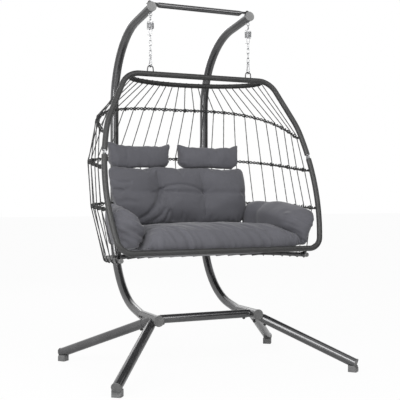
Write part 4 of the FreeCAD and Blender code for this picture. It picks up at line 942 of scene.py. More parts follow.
def bolt_head(seat, outward, size):
    """A domed bolt head with a small recess."""
    radius, height = size
    profile = [(0.0, 0.0), (0.0, radius), (height * 0.45, radius), (height * 0.8, radius * 0.82),
               (height, radius * 0.5), (height, radius * 0.36), (height * 0.55, radius * 0.34),
               (height * 0.55, 0.0)]
    return turned(profile, seat, outward, 20)


class EGGCHAIR_OT_stand_bolts(bpy.types.Operator):
    """Set the bolts of hubs, legs and uprights"""

    bl_idname = "eggchair.stand_bolts"
    bl_label = "Stand bolts"

    def execute(self, context):
        heads = []
        leg_bolt_gap, leg_surface = 22.0, 24.6
        neck_bolt_gap, neck_surface = 14.0, 22.6
        joint_bolt_rise, upright_surface = 34.0, 24.7
        hub_surface = HUB_RADIUS - 0.6
        for side in SIDES.values():
            for foot in LEG_ENDS.values():
                along = leg_heading(foot)
                down = (DOWN - along * DOWN.dot(along)).normalized()
                spot = leg_point(foot, LEG_START + leg_bolt_gap) + down * leg_surface
                heads.append(bolt_head(placed(side, spot), mirrored(side, down), LEG_BOLT))
            spot = (LOWER_BAR_END - neck_bolt_gap, LEG_APEX[1], HUB_Z - neck_surface)
            heads.append(bolt_head(placed(side, spot), DOWN, NECK_BOLT))
            for y in (24.0, 52.0):
                for way in (1, -1):
                    spot = mm(side * UPRIGHT_X + way * hub_surface, y, HUB_Z)
                    heads.append(bolt_head(spot, Vector((way, 0, 0)), SMALL_BOLT))
            spot = (UPRIGHT_X, UPRIGHT_BACK_Y + upright_surface, UPRIGHT_JOINT_Z + joint_bolt_rise)
            heads.append(bolt_head(placed(side, spot), Vector((0, 1, 0)), SMALL_BOLT))
        finished(joined(heads), "stand_bolt_heads", "dark_plastic", "stand", (), 32.0)
        return {"FINISHED"}


# Hanging gear


def at_hanger(side, across, pairs):
    """Points of a piece of the hanger: pairs of distance across, along x or y, and height."""
    if across == "x":
        return [mm(side * UPRIGHT_X + a, HANG_Y, z) for a, z in pairs]
    return [mm(side * UPRIGHT_X, HANG_Y + a, z) for a, z in pairs]


def link_line(top, length, bend):
    """A closed chain link as pairs."""
    pairs = [(bend, top - bend)] + arc_points((0.0, top - bend), bend, 0, 180, 15.0)
    foot = top - length + bend
    return pairs + [(-bend, foot)] + arc_points((0.0, foot), bend, 180, 360, 15.0)


class EGGCHAIR_OT_eye_bolts(bpy.types.Operator):
    """Form the eye bolts and tighten their nuts"""

    bl_idname = "eggchair.eye_bolts"
    bl_label = "Eye bolts and nuts"

    def execute(self, context):
        collar = [(0.0, 0.0), (0.0, 6.6), (1.6, 7.2), (2.0, 6.4), (2.0, 0.0)]
        washer = [(0.0, 4.2), (0.0, 10.0), (1.3, 10.0), (1.6, 9.6), (1.6, 4.2), (0.0, 4.2)]
        dome = [(0.0, 0.0), (0.0, 9.4), (2.0, 9.8), (5.0, 9.2), (8.4, 7.0), (10.4, 3.6), (11.0, 0.0)]
        collar_z, washer_z, nut_ends, dome_z, shank_top = -27.4, 29.2, (30.8, 37.3), 30.9, 40.0
        eyes, nuts, covers = [], [], []
        for side in SIDES.values():
            place = tip_matrix(side)
            axis = (place @ mm(0, 0, 1) - place @ mm(0, 0, 0)).normalized()
            ring = []
            for angle in range(0, 360, 12):
                c, s = turn(angle)
                ring.append(place @ mm(EYE_RADIUS * s, 0, EYE_RING_Z + EYE_RADIUS * c))
            eyes.append(swept([ring], EYE_WIRE * MM, 4, closed=True))
            shank = [place @ mm(0, 0, z) for z in (EYE_RING_Z + EYE_RADIUS, shank_top)]
            eyes.append(swept([shank], SHANK_RADIUS * MM, 4))
            eyes.append(turned(collar, place @ mm(0, 0, collar_z), axis, 24))
            nuts.append(turned(washer, place @ mm(0, 0, washer_z), axis))
            start, end = (place @ mm(0, 0, z) for z in nut_ends)
            nuts.append(softened(bar(start, end, 7.5 * MM, 6), 0.0006))
            covers.append(turned(dome, place @ mm(0, 0, dome_z), axis, 28))
        finished(joined(eyes), "forged_eye_bolts", "zinc", "stand", ["eye_bolts"])
        finished(joined(nuts), "crossbar_nuts", "zinc", "stand", ["eye_bolt_nuts"], smooth=30.0)
        finished(joined(covers), "nut_covers", "dark_plastic", "stand", smooth=50.0)
        return {"FINISHED"}


class EGGCHAIR_OT_spring_hangers(bpy.types.Operator):
    """Coil the springs and bend the bars that pull them"""

    bl_idname = "eggchair.spring_hangers"
    bl_label = "Springs"

    def execute(self, context):
        steps = int(SPRING_TURNS * 360 / SPRING_STEP_DEG)
        wire, corner = DRAWBAR_WIRE * MM, 3.0
        half, narrow, waist_half, apex_half = SPRING_RADIUS, 9.0, 11.0, 5.0
        foot = SPRING_FOOT - 2.9
        staple = eased([(half, foot), (narrow, foot), (narrow, DRAWBAR_CROWN)], corner)
        staple += arc_points((0.0, DRAWBAR_CROWN), narrow, 0, 180, 15.0)
        staple += eased([(-narrow, DRAWBAR_CROWN), (-narrow, foot), (-half, foot)], corner)[1:]
        head, waist, apex = SPRING_HEAD + 4.8, SPRING_FOOT - 2.5, LOWER_APEX + 5.0
        down = [(-half, head), (-waist_half, head), (-waist_half, waist), (-apex_half, apex)]
        up = [(-x, z) for x, z in reversed(down)]
        vee = eased(down, corner) + arc_points((0.0, apex), apex_half, 180, 360, 20.0) + eased(up, corner)[1:]
        for name, side in SIDES.items():
            coil = []
            for i in range(steps + 1):
                c, s = turn(SPRING_STEP_DEG * i)
                height = SPRING_FOOT + (SPRING_HEAD - SPRING_FOOT) * i / steps
                coil.append(placed(side, (UPRIGHT_X + SPRING_RADIUS * c, HANG_Y + SPRING_RADIUS * s, height)))
            spring = swept([coil], sizes().spring_wire, 4)
            finished(spring, name + "_coil_spring", "zinc", None, [name + "_spring"])
            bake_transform(spring)
            bent = swept([at_hanger(side, "y", staple)], wire, 4)
            finished(bent, name + "_spring_staple", "zinc", name + "_spring_hanger",
                     [name + "_upper_drawbar"])
            pull = swept([at_hanger(side, "x", vee)], wire, 4)
            tail = swept([at_hanger(side, "x", [(-apex_half, apex), (-half, apex)])], TAIL_WIRE * MM, 3)
            finished(joined([pull, tail]), name + "_spring_pull", "zinc", name + "_chain",
                     [name + "_lower_drawbar"])
        return {"FINISHED"}


class EGGCHAIR_OT_chains(bpy.types.Operator):
    """Hang the links between eye bolt, spring and snap hook"""

    bl_idname = "eggchair.chains"
    bl_label = "Chains"

    def execute(self, context):
        small = (("top_link", "y", "_top_link"), ("joining_link", "x", "_spring_hanger"))
        for name, side in SIDES.items():
            for piece, across, body in small:
                pairs = link_line(SMALL_LINK_TOPS[piece], *SMALL_LINK)
                ring = swept([at_hanger(side, across, pairs)], SMALL_LINK_WIRE * MM, 4, closed=True)
                finished(ring, name + "_small_" + piece, "zinc", name + body, [name + "_" + piece])
            links = []
            for i, across in enumerate("yxyx"):
                pairs = link_line(CHAIN_TOP - i * CHAIN_STEP, *CHAIN_LINK)
                links.append(swept([at_hanger(side, across, pairs)], sizes().chain_wire, 4, closed=True))
            finished(joined(links), name + "_chain_links", "zinc", name + "_chain", [name + "_chain"])
        return {"FINISHED"}


def hook_pairs():
    """The snap hook's wire, from its nose round both bends to the gate's hinge."""
    wide_z, wide_r = HOOK_WIDE
    narrow_z, narrow_r = HOOK_NARROW
    lean = HOOK_LEAN_DEG
    c, s = turn(lean)
    pairs = [(-wide_r * c + HOOK_NOSE * s, wide_z + wide_r * s + HOOK_NOSE * c)]
    pairs.append((-wide_r * c, wide_z + wide_r * s))
    pairs += arc_points((0.0, wide_z), wide_r, 180 - lean, 360 + lean, 10.0)
    pairs.append((narrow_r * c, narrow_z + narrow_r * s))
    pairs += arc_points((0.0, narrow_z), narrow_r, lean, 180 - lean, 12.0)
    pairs.append((GATE_HINGE[0] - HANG_Y - HOOK_WIRE * s, GATE_HINGE[1] - HOOK_WIRE * c))
    return pairs


class EGGCHAIR_OT_snap_hooks(bpy.types.Operator):
    """Bend the snap hooks and fit their gates"""

    bl_idname = "eggchair.snap_hooks"
    bl_label = "Snap hooks"

    def execute(self, context):
        pin_half, eye_half = Vector((0.0039, 0, 0)), Vector((0.0019, 0, 0))
        slot_size, slot_offset = 0.0084, Vector((0, -0.0006, -0.0012))
        for name, side in SIDES.items():
            hinge = mm(side * UPRIGHT_X, *GATE_HINGE)
            tip = mm(side * UPRIGHT_X, *GATE_TIP)
            along = (tip - hinge).normalized()
            hook = swept([at_hanger(side, "y", hook_pairs())], HOOK_WIRE * MM, 5)
            pick()
            bpy.ops.mesh.primitive_cube_add(size=slot_size, location=hinge + slot_offset)
            cutter = bpy.context.object
            cutter.scale = (0.5, 1.25, 1.25)
            bpy.ops.object.transform_apply(location=True, rotation=True, scale=True)
            use_modifier(hook, "BOOLEAN", operation="DIFFERENCE", object=cutter, solver="EXACT")
            bpy.data.objects.remove(cutter)
            pin = bar(hinge - pin_half, hinge + pin_half, 0.0012, 16)
            finished(joined([hook, pin]), name + "_snap_hook_body", "zinc", name + "_hook",
                     [name + "_snap_hook"])
            spots = [hinge + along * 0.0055, hinge + along * 0.0075, tip - along * 0.001, tip]
            radii = [2.0 * MM, 2.9 * MM, 2.9 * MM, 2.3 * MM]
            rod = swept([spots], radii[1], 4, radii=radii)
            blade = bar(hinge, hinge + along * 0.0085, 0.0019, 16)
            eye = bar(hinge - eye_half, hinge + eye_half, 0.0031, 20)
            finished(joined([rod, blade, eye]), name + "_hook_gate_bar", "zinc", name + "_hook_gate",
                     [name + "_hook_gate"])
        return {"FINISHED"}


# Basket frame


class EGGCHAIR_OT_basket_loop(bpy.types.Operator):
    """Cover the basket's loop and fix the wire eyes that it hangs by"""

    bl_idname = "eggchair.basket_loop"
    bl_label = "Basket loop"

    def execute(self, context):
        halves = (("upper", loop_upper_line(UPPER_COVER_END), "basket"),
                  ("lower", loop_lower_line(COVER_END), "basket_lower"))
        for half, line, body in halves:
            cover = swept([line], sizes().loop_cover, 8)
            finished(cover, half + "_loop_woven_cover", "cover", body, ["loop_" + half + "_wrap"])
        wide, foot, bend = HANGING_EYE_HALF, TOP_BAR_Z + 9.0, PITCH_Z - HANGING_EYE_HALF
        pairs = [(wide + 2.0, foot), (wide, bend)] + arc_points((0.0, bend), wide, 0, 180, 12.0)
        pairs.append((-wide - 2.0, foot))
        eyes = [swept([at_hanger(side, "x", pairs)], HANGING_EYE_WIRE * MM, 5) for side in SIDES.values()]
        finished(joined(eyes), "wire_hanging_eyes", "basket", "basket", ["hanging_lugs"])
        for node in ("loop_upper_tube", "loop_lower_tube"):
            bare_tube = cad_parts[node].data
            bare_tube.materials.clear()
            bare_tube.materials.append(finish_of("zinc"))
        return {"FINISHED"}


class EGGCHAIR_OT_loop_hinges(bpy.types.Operator):
    """Soften the hinge plates in the loop's sides and rivet them"""

    bl_idname = "eggchair.loop_hinges"
    bl_label = "Loop hinges"

    def execute(self, context):
        tongues = softened_copy("hinge_tongues", 0.0005)
        finished(tongues, "hinge_blades", "zinc", "basket", ["hinge_tongues"], smooth=30.0)
        clevises = softened_copy("hinge_clevises", 0.0005)
        finished(clevises, "hinge_ears", "zinc", "basket_lower", ["hinge_clevises"], smooth=30.0)
        shaft = [(0.0, 0.0), (0.0, 4.6), (0.8, 6.0), (2.3, 6.5), (2.5, 4.0), (15.8, 4.0), (16.0, 6.5),
                 (17.5, 6.0), (18.3, 4.6), (18.3, 0.0)]
        low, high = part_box("hinge_pins")
        middle = (low + high) / 2
        inner = high.x - shaft[-1][0] * MM
        rivets = []
        for side in SIDES.values():
            seat = Vector((side * inner, middle.y, middle.z))
            rivets.append(turned(shaft, seat, Vector((side, 0, 0)), 24))
        finished(joined(rivets), "hinge_rivets", "zinc", "basket_lower", ["hinge_pins"], smooth=30.0)
        return {"FINISHED"}


class EGGCHAIR_OT_rails(bpy.types.Operator):
    """Wind the top rail with cord, coat the seat rail and fix their ends"""

    bl_idname = "eggchair.rails"
    bl_label = "Rails"

    def execute(self, context):
        top = swept([arc_line(TOP_RAIL)], TOP_RAIL_RADIUS, 8)
        finished(top, "corded_top_rail", "wound", "basket", ["top_rail"])
        line = arc_line(SEAT_RAIL)
        seat = swept([line], SEAT_RAIL_RADIUS, 8)
        finished(seat, "coated_seat_rail", "basket", "basket_lower", ["seat_rail"])
        plug = [(0.0, 0.0), (0.0, 12.5), (2.2, 12.5), (3.0, 11.6), (3.0, 7.5), (0.6, 6.8), (0.6, 0.0)]
        plugs = [turned(plug, end, end - after) for end, after in ((line[0], line[1]), (line[-1], line[-2]))]
        finished(joined(plugs), "seat_rail_end_plugs", "cap", "basket_lower", ["seat_rail_caps"], smooth=32.0)
        small = (("seat_brackets", "seat_rail_brackets", "basket_lower"),
                 ("upper_arc_lugs", "upper_arc_lugs_softened", "basket"),
                 ("lower_arc_lugs", "lower_arc_lugs_softened", "basket_lower"))
        for node, piece, body in small:
            finished(softened_copy(node, 0.0006), piece, "basket", body, [node])
        return {"FINISHED"}


class EGGCHAIR_OT_arcs(bpy.types.Operator):
    """Twist each arc from two thick cords, with the eyes between them open"""

    bl_idname = "eggchair.arcs"
    bl_label = "Corded arcs"

    def execute(self, context):
        outer = sizes().arc_cord
        thick = outer * 0.4
        for name, shape in ARCS.items():
            line = arc_line(shape, 28)
            strands = [twisted(line, outer - thick, CORD_TWIST, phase, CORD_STEP) for phase in TWO_STRANDS]
            body = "basket" if name == "upper" else "basket_lower"
            finished(swept(strands, thick, 2), name + "_arc_twisted_cord", "cord", body, [name + "_arc"],
                     smooth=70.0)
        return {"FINISHED"}


# Net


def across_tube(place, heading):
    """The direction from a tube's middle that is square to it and to a rope's heading."""
    away = place[2].cross(heading).normalized()
    return away if away.dot(place[1]) > 0 else -away


def over_tube(before, place, after, reach):
    """Where a rope bends over a tube between two of its points."""
    mean = ((place[0] - before).normalized() + (after - place[0]).normalized()).normalized()
    return place[0] + across_tube(place, mean) * reach


def rope_route(share):
    """A rope's points from the top rail over the arcs and round the seat rail, and its places on them."""
    rope = sizes().rope
    shapes = (TOP_RAIL, ARCS["upper"], ARCS["middle"], ARCS["lower"], SEAT_RAIL)
    places = [place_at(arc_line(shape), share) for shape in shapes]
    fall = (places[1][0] - places[0][0]).normalized()
    start = places[0][0] + across_tube(places[0], fall) * (TOP_RAIL_RADIUS + rope)
    rail, outward = places[4][0], places[4][1]
    reach = SEAT_RAIL_RADIUS + rope
    route = [start, places[1][0], places[2][0], places[3][0], rail + outward * reach]
    for i in (1, 2, 3):
        route[i] = over_tube(route[i - 1], places[i], route[i + 1], sizes().arc_cord + rope * 0.8)
    round_rail = []
    for angle in range(-5, -91, -17):
        c, s = turn(angle)
        round_rail.append(rail + outward * (reach * c) + Vector((0, 0, reach * s)))
    return route[:4] + round_rail, places


def corded(lines):
    """Two-strand ropes along lines of points, as one mesh."""
    rope = sizes().rope
    strands = []
    for line in lines:
        strands += [twisted(line, rope * 0.45, ROPE_TWIST, phase, ROPE_STEP) for phase in TWO_STRANDS]
    return swept(strands, rope * 0.68, 0)


def knot_at(place, radius, lean):
    """One turn of rope round a rail, leaning a little along it."""
    point, _, along = place
    side = along.orthogonal().normalized()
    other = along.cross(side)
    ring = []
    for k in range(12):
        c, s = turn(30.0 * k)
        ring.append(point + (side * c + other * s) * (radius + sizes().rope * 0.45) + along * (lean * s))
    return ring


class EGGCHAIR_OT_net(bpy.types.Operator):
    """Tie the ropes of the net to rails and arcs"""

    bl_idname = "eggchair.net"
    bl_label = "Net"

    def execute(self, context):
        upper, middle, lower, seat = [], [], [], []
        upper_knots, lower_knots = [], []
        rope = sizes().rope
        on_arc = sizes().arc_cord - KNOT_SINK
        ties = ((upper_knots, TOP_KNOT), (upper_knots, on_arc), (lower_knots, on_arc), (lower_knots, on_arc),
                (lower_knots, SEAT_KNOT))
        for i in range(ROPE_COUNT):
            route, places = rope_route((i + 0.5) / ROPE_COUNT)
            upper.append(route[0:2])
            middle.append(route[1:3])
            lower.append(route[2:])
            lean = KNOT_LEAN if i % 2 else -KNOT_LEAN
            for place, (knots, radius) in zip(places, ties):
                knots.append(knot_at(place, radius, lean))
            rail = places[4][0]
            if abs(rail.x) < SEAT_ROPE_REACH and rail.y > 0:
                under = Vector((rail.x, rail.y - KNOT_SINK, route[-1].z))
                seat.append([under, mm(rail.x / MM, *NET_FRONT)])
        pieces = (("net_ropes_top", upper, "basket", "upper_net"),
                  ("net_ropes_over_hinge", middle, None, "middle_net"),
                  ("net_ropes_sides", lower, "basket_lower", "lower_net"),
                  ("net_ropes_under_seat", seat, "basket_lower", "seat_net"))
        for piece, lines, body, node in pieces:
            made = finished(corded(lines), piece, "rope", body, [node], smooth=180.0)
            if body is None:
                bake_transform(made)
        for piece, knots, body in (("knots_on_top", upper_knots, "basket"),
                                   ("knots_below", lower_knots, "basket_lower")):
            finished(swept(knots, rope, 0, closed=True), piece, "cord", body, smooth=180.0)
        return {"FINISHED"}


# Cushions, in metres


def reshaped(obj, place_of):
    """Moves every point to where a function says."""
    for vertex in obj.data.vertices:
        vertex.co = place_of(vertex.co)
    obj.data.update()
    return obj


def fitted(obj, low, high):
    """Scales a pad to a box."""
    corners = [v.co for v in obj.data.vertices]
    first = [min(c[k] for c in corners) for k in range(3)]
    last = [max(c[k] for c in corners) for k in range(3)]

    def place_of(co):
        shares = [(co[k] - first[k]) * (high[k] - low[k]) / (last[k] - first[k]) for k in range(3)]
        return Vector([low[k] + shares[k] for k in range(3)])

    return reshaped(obj, place_of)


def along_table(table, value):
    """A number read from pairs, straight between them and level beyond them."""
    if value <= table[0][0]:
        return table[0][1]
    for (a, first), (b, second) in zip(table, table[1:]):
        if value <= b:
            return first + (second - first) * (value - a) / (b - a)
    return table[-1][1]


FILLING = {
    "quality": 5, "mass": 0.25, "tension_stiffness": 12.0, "compression_stiffness": 6.0,
    "shear_stiffness": 5.0, "bending_stiffness": 0.4, "use_pressure": True, "uniform_pressure_force": 4.0,
}
FILLING_STEPS = 20


def filled(obj, voxel, cap, held=None):
    """Blows a cushion up as cloth round its filling. held gives how firmly a point is stitched, 0 to 1."""
    obj.data.remesh_voxel_size = voxel
    pick(obj)
    bpy.ops.object.voxel_remesh()
    smoothed(obj, 5)
    start = [v.co.copy() for v in obj.data.vertices]
    cloth = obj.modifiers.new("Cloth", "CLOTH")
    for name, value in FILLING.items():
        setattr(cloth.settings, name, value)
    cloth.settings.effector_weights.gravity = 0.0
    if held:
        group = obj.vertex_groups.new(name="held")
        for vertex in obj.data.vertices:
            weight = held(vertex.co)
            if weight > 0.01:
                group.add([vertex.index], min(1.0, weight), "REPLACE")
        cloth.settings.vertex_group_mass = "held"
    scene = bpy.context.scene
    for step in range(1, FILLING_STEPS + 1):
        scene.frame_set(step)
    pick(obj)
    bpy.ops.object.modifier_apply(modifier=cloth.name)
    scene.frame_set(1)
    for vertex, before in zip(obj.data.vertices, start):
        move = vertex.co - before
        if move.length > cap:
            vertex.co = before + move * (cap / move.length)
    return smoothed(obj, 2)


def pushed(obj, amount_at):
    """Moves each point along its normal by what a function says for it."""
    normals = [v.normal.copy() for v in obj.data.vertices]
    for vertex, normal in zip(obj.data.vertices, normals):
        vertex.co = vertex.co + normal * amount_at(vertex.co, normal)
    obj.data.update()
    return obj


def distance_to_line(x, z, line):
    """Distance in a plane from a point to a line of pairs."""
    best = 1e9
    for (ax, az), (bx, bz) in zip(line, line[1:]):
        dx, dz = bx - ax, bz - az
        t = max(0.0, min(1.0, ((x - ax) * dx + (z - az) * dz) / (dx * dx + dz * dz)))
        best = min(best, math.hypot(x - ax - dx * t, z - az - dz * t))
    return best


def bell(distance, width):
    return math.exp(-(distance / width) ** 2)


def waves(x, y, z):
    """Smooth uneven waves, about one to each unit."""
    return noise.noise(Vector((x, y, z)))


def way_of(value):
    """1 on the positive side of the middle, -1 on the other."""
    return 1.0 if value >= 0 else -1.0


def share_of(value, start, end):
    """0 at start, 1 at end, eased between."""
    t = max(0.0, min(1.0, (value - start) / (end - start)))
    return t * t * (3 - 2 * t)


def finish_cushion(obj, name, node):
    use_modifier(obj, "SUBSURF", levels=1, render_levels=1)
    finished(obj, name, "cloth", "basket_lower", [node], smooth=180.0)


def net_wall(y, z):
    """Distance from the middle to the net at one side, at a depth and a height."""
    tiers = [arc_line(shape)[:ARC_STEPS + 1] for shape in (SEAT_RAIL, ARCS["lower"], ARCS["middle"])]
    before = None
    for low, middle, high in zip(*tiers):
        under, over = (low, middle) if z < middle.z else (middle, high)
        point = under.lerp(over, max(0.0, min(1.0, (z - under.z) / (over.z - under.z))))
        if before is not None and point.y >= y:
            return before.x + (point.x - before.x) * max(0.0, (y - before.y) / (point.y - before.y))
        before = point
    return 0.0


# How far seat ends and arm pads lean outwards where they meet, by height
LEAN_WHERE_ARM_LIES = {
    "right": [(0.65, 0.036), (0.7, 0.026), (0.75, -0.036), (0.8, -0.042), (0.9, -0.02)],
    "left": [(0.65, -0.006), (0.7, -0.034), (0.76, -0.04), (0.8, -0.014), (0.86, 0.022)],
}
LEAN_GAP = 0.004
SEAT_LEAN_LIMIT = 0.034
SEAT_END_X = 0.44


class EGGCHAIR_OT_seat_cushion(bpy.types.Operator):
    """Fill the seat cushion and lay its folds"""

    bl_idname = "eggchair.seat_cushion"
    bl_label = "Seat cushion"

    def execute(self, context):
        low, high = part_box("seat_cushion")
        pad = solid_copy("seat_cushion", 1e-5)
        filled(pad, 0.008, sizes().cushion_swell)
        fitted(pad, low + Vector((0.0, 0.0, 0.001)), high + Vector((0.0, 0.0, 0.004)))

        def under_arms(co):
            lean = LEAN_WHERE_ARM_LIES["right" if co.x > 0 else "left"]
            weight = share_of(abs(co.x), 0.3, SEAT_END_X)
            shift = min(along_table(lean, co.z), SEAT_LEAN_LIMIT) - LEAN_GAP
            return co + Vector((way_of(co.x) * shift * weight, 0, 0))

        reshaped(pad, under_arms)

        def fold(point, normal):
            front = 1.0 - share_of(point.y, low.y + 0.04, low.y + 0.34)
            upper = share_of(point.z, low.z + 0.02, low.z + 0.06)
            end = share_of(abs(point.x), 0.3, 0.42)
            bow = point.x + 0.6 * (point.y - low.y) + 2.5 * (point.z - low.z - 0.04) ** 2
            drape = waves(bow / 0.03, point.y / 0.3, point.z / 0.3)
            fine = waves(bow / 0.013, 8.1, point.z / 0.3)
            gather = end * waves(point.x / 0.014, 1.0, point.z / 0.2)
            soft = waves(point.x / 0.1, point.y / 0.09, point.z / 0.2)
            calm = 1.0 - normal.x * normal.x
            return ((0.0115 * drape + 0.0016 * fine + 0.006 * gather) * front * calm + 0.004 * soft) * upper

        pushed(pad, fold)
        finish_cushion(pad, "seat_pad", "seat_cushion")
        return {"FINISHED"}


# Back cushion, in x and z: its two tufts, and its creases as a line, a depth and a width
LEFT_TUFT, RIGHT_TUFT = (-0.137, 0.957), (0.136, 0.942)
TUFT_WIDTH = 0.016
BACK_CREASES = (
    ([LEFT_TUFT, (-0.11, 0.975), (-0.075, 0.986), (-0.03, 0.991), (0.02, 0.988), (0.07, 0.975),
      (0.11, 0.957), RIGHT_TUFT], 0.0075, 0.008),
    ([LEFT_TUFT, (-0.143, 0.99), (-0.154, 1.03), (-0.16, 1.06)], 0.0065, 0.008),
    ([RIGHT_TUFT, (0.128, 0.98), (0.118, 1.02), (0.11, 1.06)], 0.0055, 0.008),
    ([LEFT_TUFT, (-0.15, 0.92), (-0.18, 0.87), (-0.225, 0.82), (-0.265, 0.795)], 0.013, 0.015),
    ([(-0.125, 0.85), (-0.145, 0.815), (-0.185, 0.785)], 0.008, 0.011),
    ([(-0.118, 0.91), (-0.1, 0.86), (-0.08, 0.82), (-0.07, 0.79)], 0.0085, 0.008),
    ([(-0.098, 0.84), (-0.11, 0.8), (-0.12, 0.775)], 0.009, 0.007),
    ([RIGHT_TUFT, (0.2, 0.94), (0.3, 0.944), (0.38, 0.94)], 0.0035, 0.012),
    ([(-0.43, 1.02), (-0.38, 1.0), (-0.33, 1.005)], 0.006, 0.009),
    ([(-0.43, 0.965), (-0.38, 0.955), (-0.35, 0.965)], 0.005, 0.009),
    ([(-0.4, 0.89), (-0.35, 0.9), (-0.3, 0.89)], 0.004, 0.012),
    ([(0.27, 1.06), (0.3, 1.03), (0.31, 1.0)], 0.003, 0.01),
)
DEEPEST_CREASE = 0.018


class EGGCHAIR_OT_back_cushion(bpy.types.Operator):
    """Fill the back cushion, draw in its tufts and crease it"""

    bl_idname = "eggchair.back_cushion"
    bl_label = "Back cushion"

    def execute(self, context):
        low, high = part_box("back_cushion")
        box_low = Vector((low.x - 0.022, low.y, low.z - 0.009))
        box_high = Vector((high.x + 0.002, high.y - 0.005, high.z - 0.004))

        def stitched(point):
            if point.y > high.y - 0.05:
                return 0.0
            tufts = (LEFT_TUFT, RIGHT_TUFT)
            return max(bell(math.hypot(point.x - x, point.z - z), TUFT_WIDTH) for x, z in tufts)

        pad = fitted(solid_copy("back_cushion", 1e-5), box_low, box_high)
        filled(pad, 0.0065, sizes().cushion_swell, stitched)
        fitted(pad, box_low, box_high)

        def drawn_ends(co):
            down = 1.0 - share_of(co.z, low.z + 0.02, high.z - 0.05)
            pull = 0.04 if co.x < 0 else 0.012
            out = share_of(abs(co.x), 0.22, 0.44)
            lift = 0.015 * share_of(co.z, high.z - 0.12, high.z) * share_of(abs(co.x), 0.26, 0.41)
            return co + Vector((-way_of(co.x) * pull * down * out, 0, lift))

        reshaped(pad, drawn_ends)

        def round_tuft(point, x, z):
            reach = math.hypot(point.x - x, point.z - z)
            spin = math.atan2(point.z - z, point.x - x)
            return 0.002 * math.sin(7 * spin + 2 * x) * bell(reach, 0.06) * min(1.0, reach / 0.02)

        def fold(point, normal):
            if normal.y > 0.3:
                return 0.0
            deep = sum(depth * bell(distance_to_line(point.x, point.z, line), width)
                       for line, depth, width in BACK_CREASES)
            around = round_tuft(point, *LEFT_TUFT) + round_tuft(point, *RIGHT_TUFT)
            edge = 1.0 - share_of(point.z, low.z, low.z + 0.07)
            pucker = 0.005 * waves(point.x / 0.018, 0.7, 0.0) * edge
            top = share_of(point.z, high.z - 0.06, high.z)
            ripple = 0.003 * waves(point.x / 0.03, 4.7, 0.0) * top
            soft = 0.0042 * waves(point.x / 0.08, point.z / 0.07, 5.0)
            return around + pucker + ripple + soft - min(deep, DEEPEST_CREASE)

        pushed(pad, fold)
        finish_cushion(pad, "back_pad", "back_cushion")
        return {"FINISHED"}


# Arm cushions, by depth: the half width of the solid, and that of each pad
ARM_WIDEST = [(-0.29, 0.566), (-0.12, 0.592), (0.02, 0.578), (0.12, 0.54), (0.2, 0.5)]
ARM_LIMITS = {
    "right": [(-0.29, 0.592), (-0.12, 0.6), (0.02, 0.575), (0.12, 0.54), (0.2, 0.5), (0.26, 0.45)],
    "left": [(-0.29, 0.585), (-0.12, 0.556), (0.02, 0.518), (0.12, 0.488), (0.2, 0.47)],
}
# Each arm pad: reach past its solid, shift of its rear inner edge, lift of its top, depth of its ridges
# and rounds of smoothing
ARM_FORMS = {"right": (0.095, 0.046, 0.026, 0.0, 14), "left": (0.02, 0.0, 0.016, 0.0075, 4)}
ARM_TO_NET = 0.01


class EGGCHAIR_OT_arm_cushions(bpy.types.Operator):
    """Fill the two arm cushions and lay them against seat and net"""

    bl_idname = "eggchair.arm_cushions"
    bl_label = "Arm cushions"

    def execute(self, context):
        for name, side in SIDES.items():
            past, inward, lift, ridge_depth, rounds = ARM_FORMS[name]
            node = name + "_arm_cushion"
            low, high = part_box(node)
            pad = solid_copy(node, 1e-5)
            filled(pad, 0.0065, sizes().cushion_swell)
            rear = high.y + past
            fitted(pad, Vector((low.x, low.y, low.z + 0.001)), Vector((high.x, rear, high.z + 0.002)))

            def laid(co):
                widest, limit = along_table(ARM_WIDEST, co.y), along_table(ARM_LIMITS[name], co.y)
                depth = (abs(co.x) - SEAT_END_X) / (widest - SEAT_END_X)
                inner = SEAT_END_X - inward * share_of(co.y, 0.08, 0.19)
                near = 1.0 - share_of(depth, 0.05, 0.75)
                shift = along_table(LEAN_WHERE_ARM_LIES[name], co.z) + LEAN_GAP
                calm = 1.0 - 0.85 * share_of(co.y, 0.02, 0.16) * (1.0 if shift < 0 else 0.0)
                top = share_of(co.z, low.z + 0.05, high.z)
                rise = lift * top * share_of(co.y, -0.26, 0.02)
                droop = -0.022 * share_of(co.y, 0.08, rear - 0.01) * top
                across = inner + depth * (limit - inner) + shift * near * calm
                across = min(across, net_wall(co.y, co.z) - ARM_TO_NET)
                return Vector((side * across, co.y, co.z + rise - droop))

            reshaped(pad, laid)
            smoothed(pad, rounds)

            def fold(point, normal):
                slant = point.y + 0.55 * (point.z - low.z) + 0.3 * abs(point.x)
                ridge = waves(slant / 0.03, 1.7 * side, point.z / 0.3)
                soft = waves(point.x / 0.07, point.y / 0.08, point.z / 0.07 + side)
                front = 1.0 - share_of(point.y, low.y + 0.03, low.y + 0.13)
                gather = 0.009 * waves((point.z + 0.5 * point.x) / 0.02, 2.0, 4.0 * side) * front
                return ridge_depth * ridge + 0.002 * soft + gather

            pushed(pad, fold)
            finish_cushion(pad, name + "_arm_pad", node)
        return {"FINISHED"}


# Each head pillow: its ends, how far it reaches under its solid, and how far its front edge hangs
PILLOWS = {"right": ((0.023, 0.387), 0.009, 0.006), "left": ((-0.415, -0.043), 0.013, 0.012)}
PILLOW_SWELL = 0.012


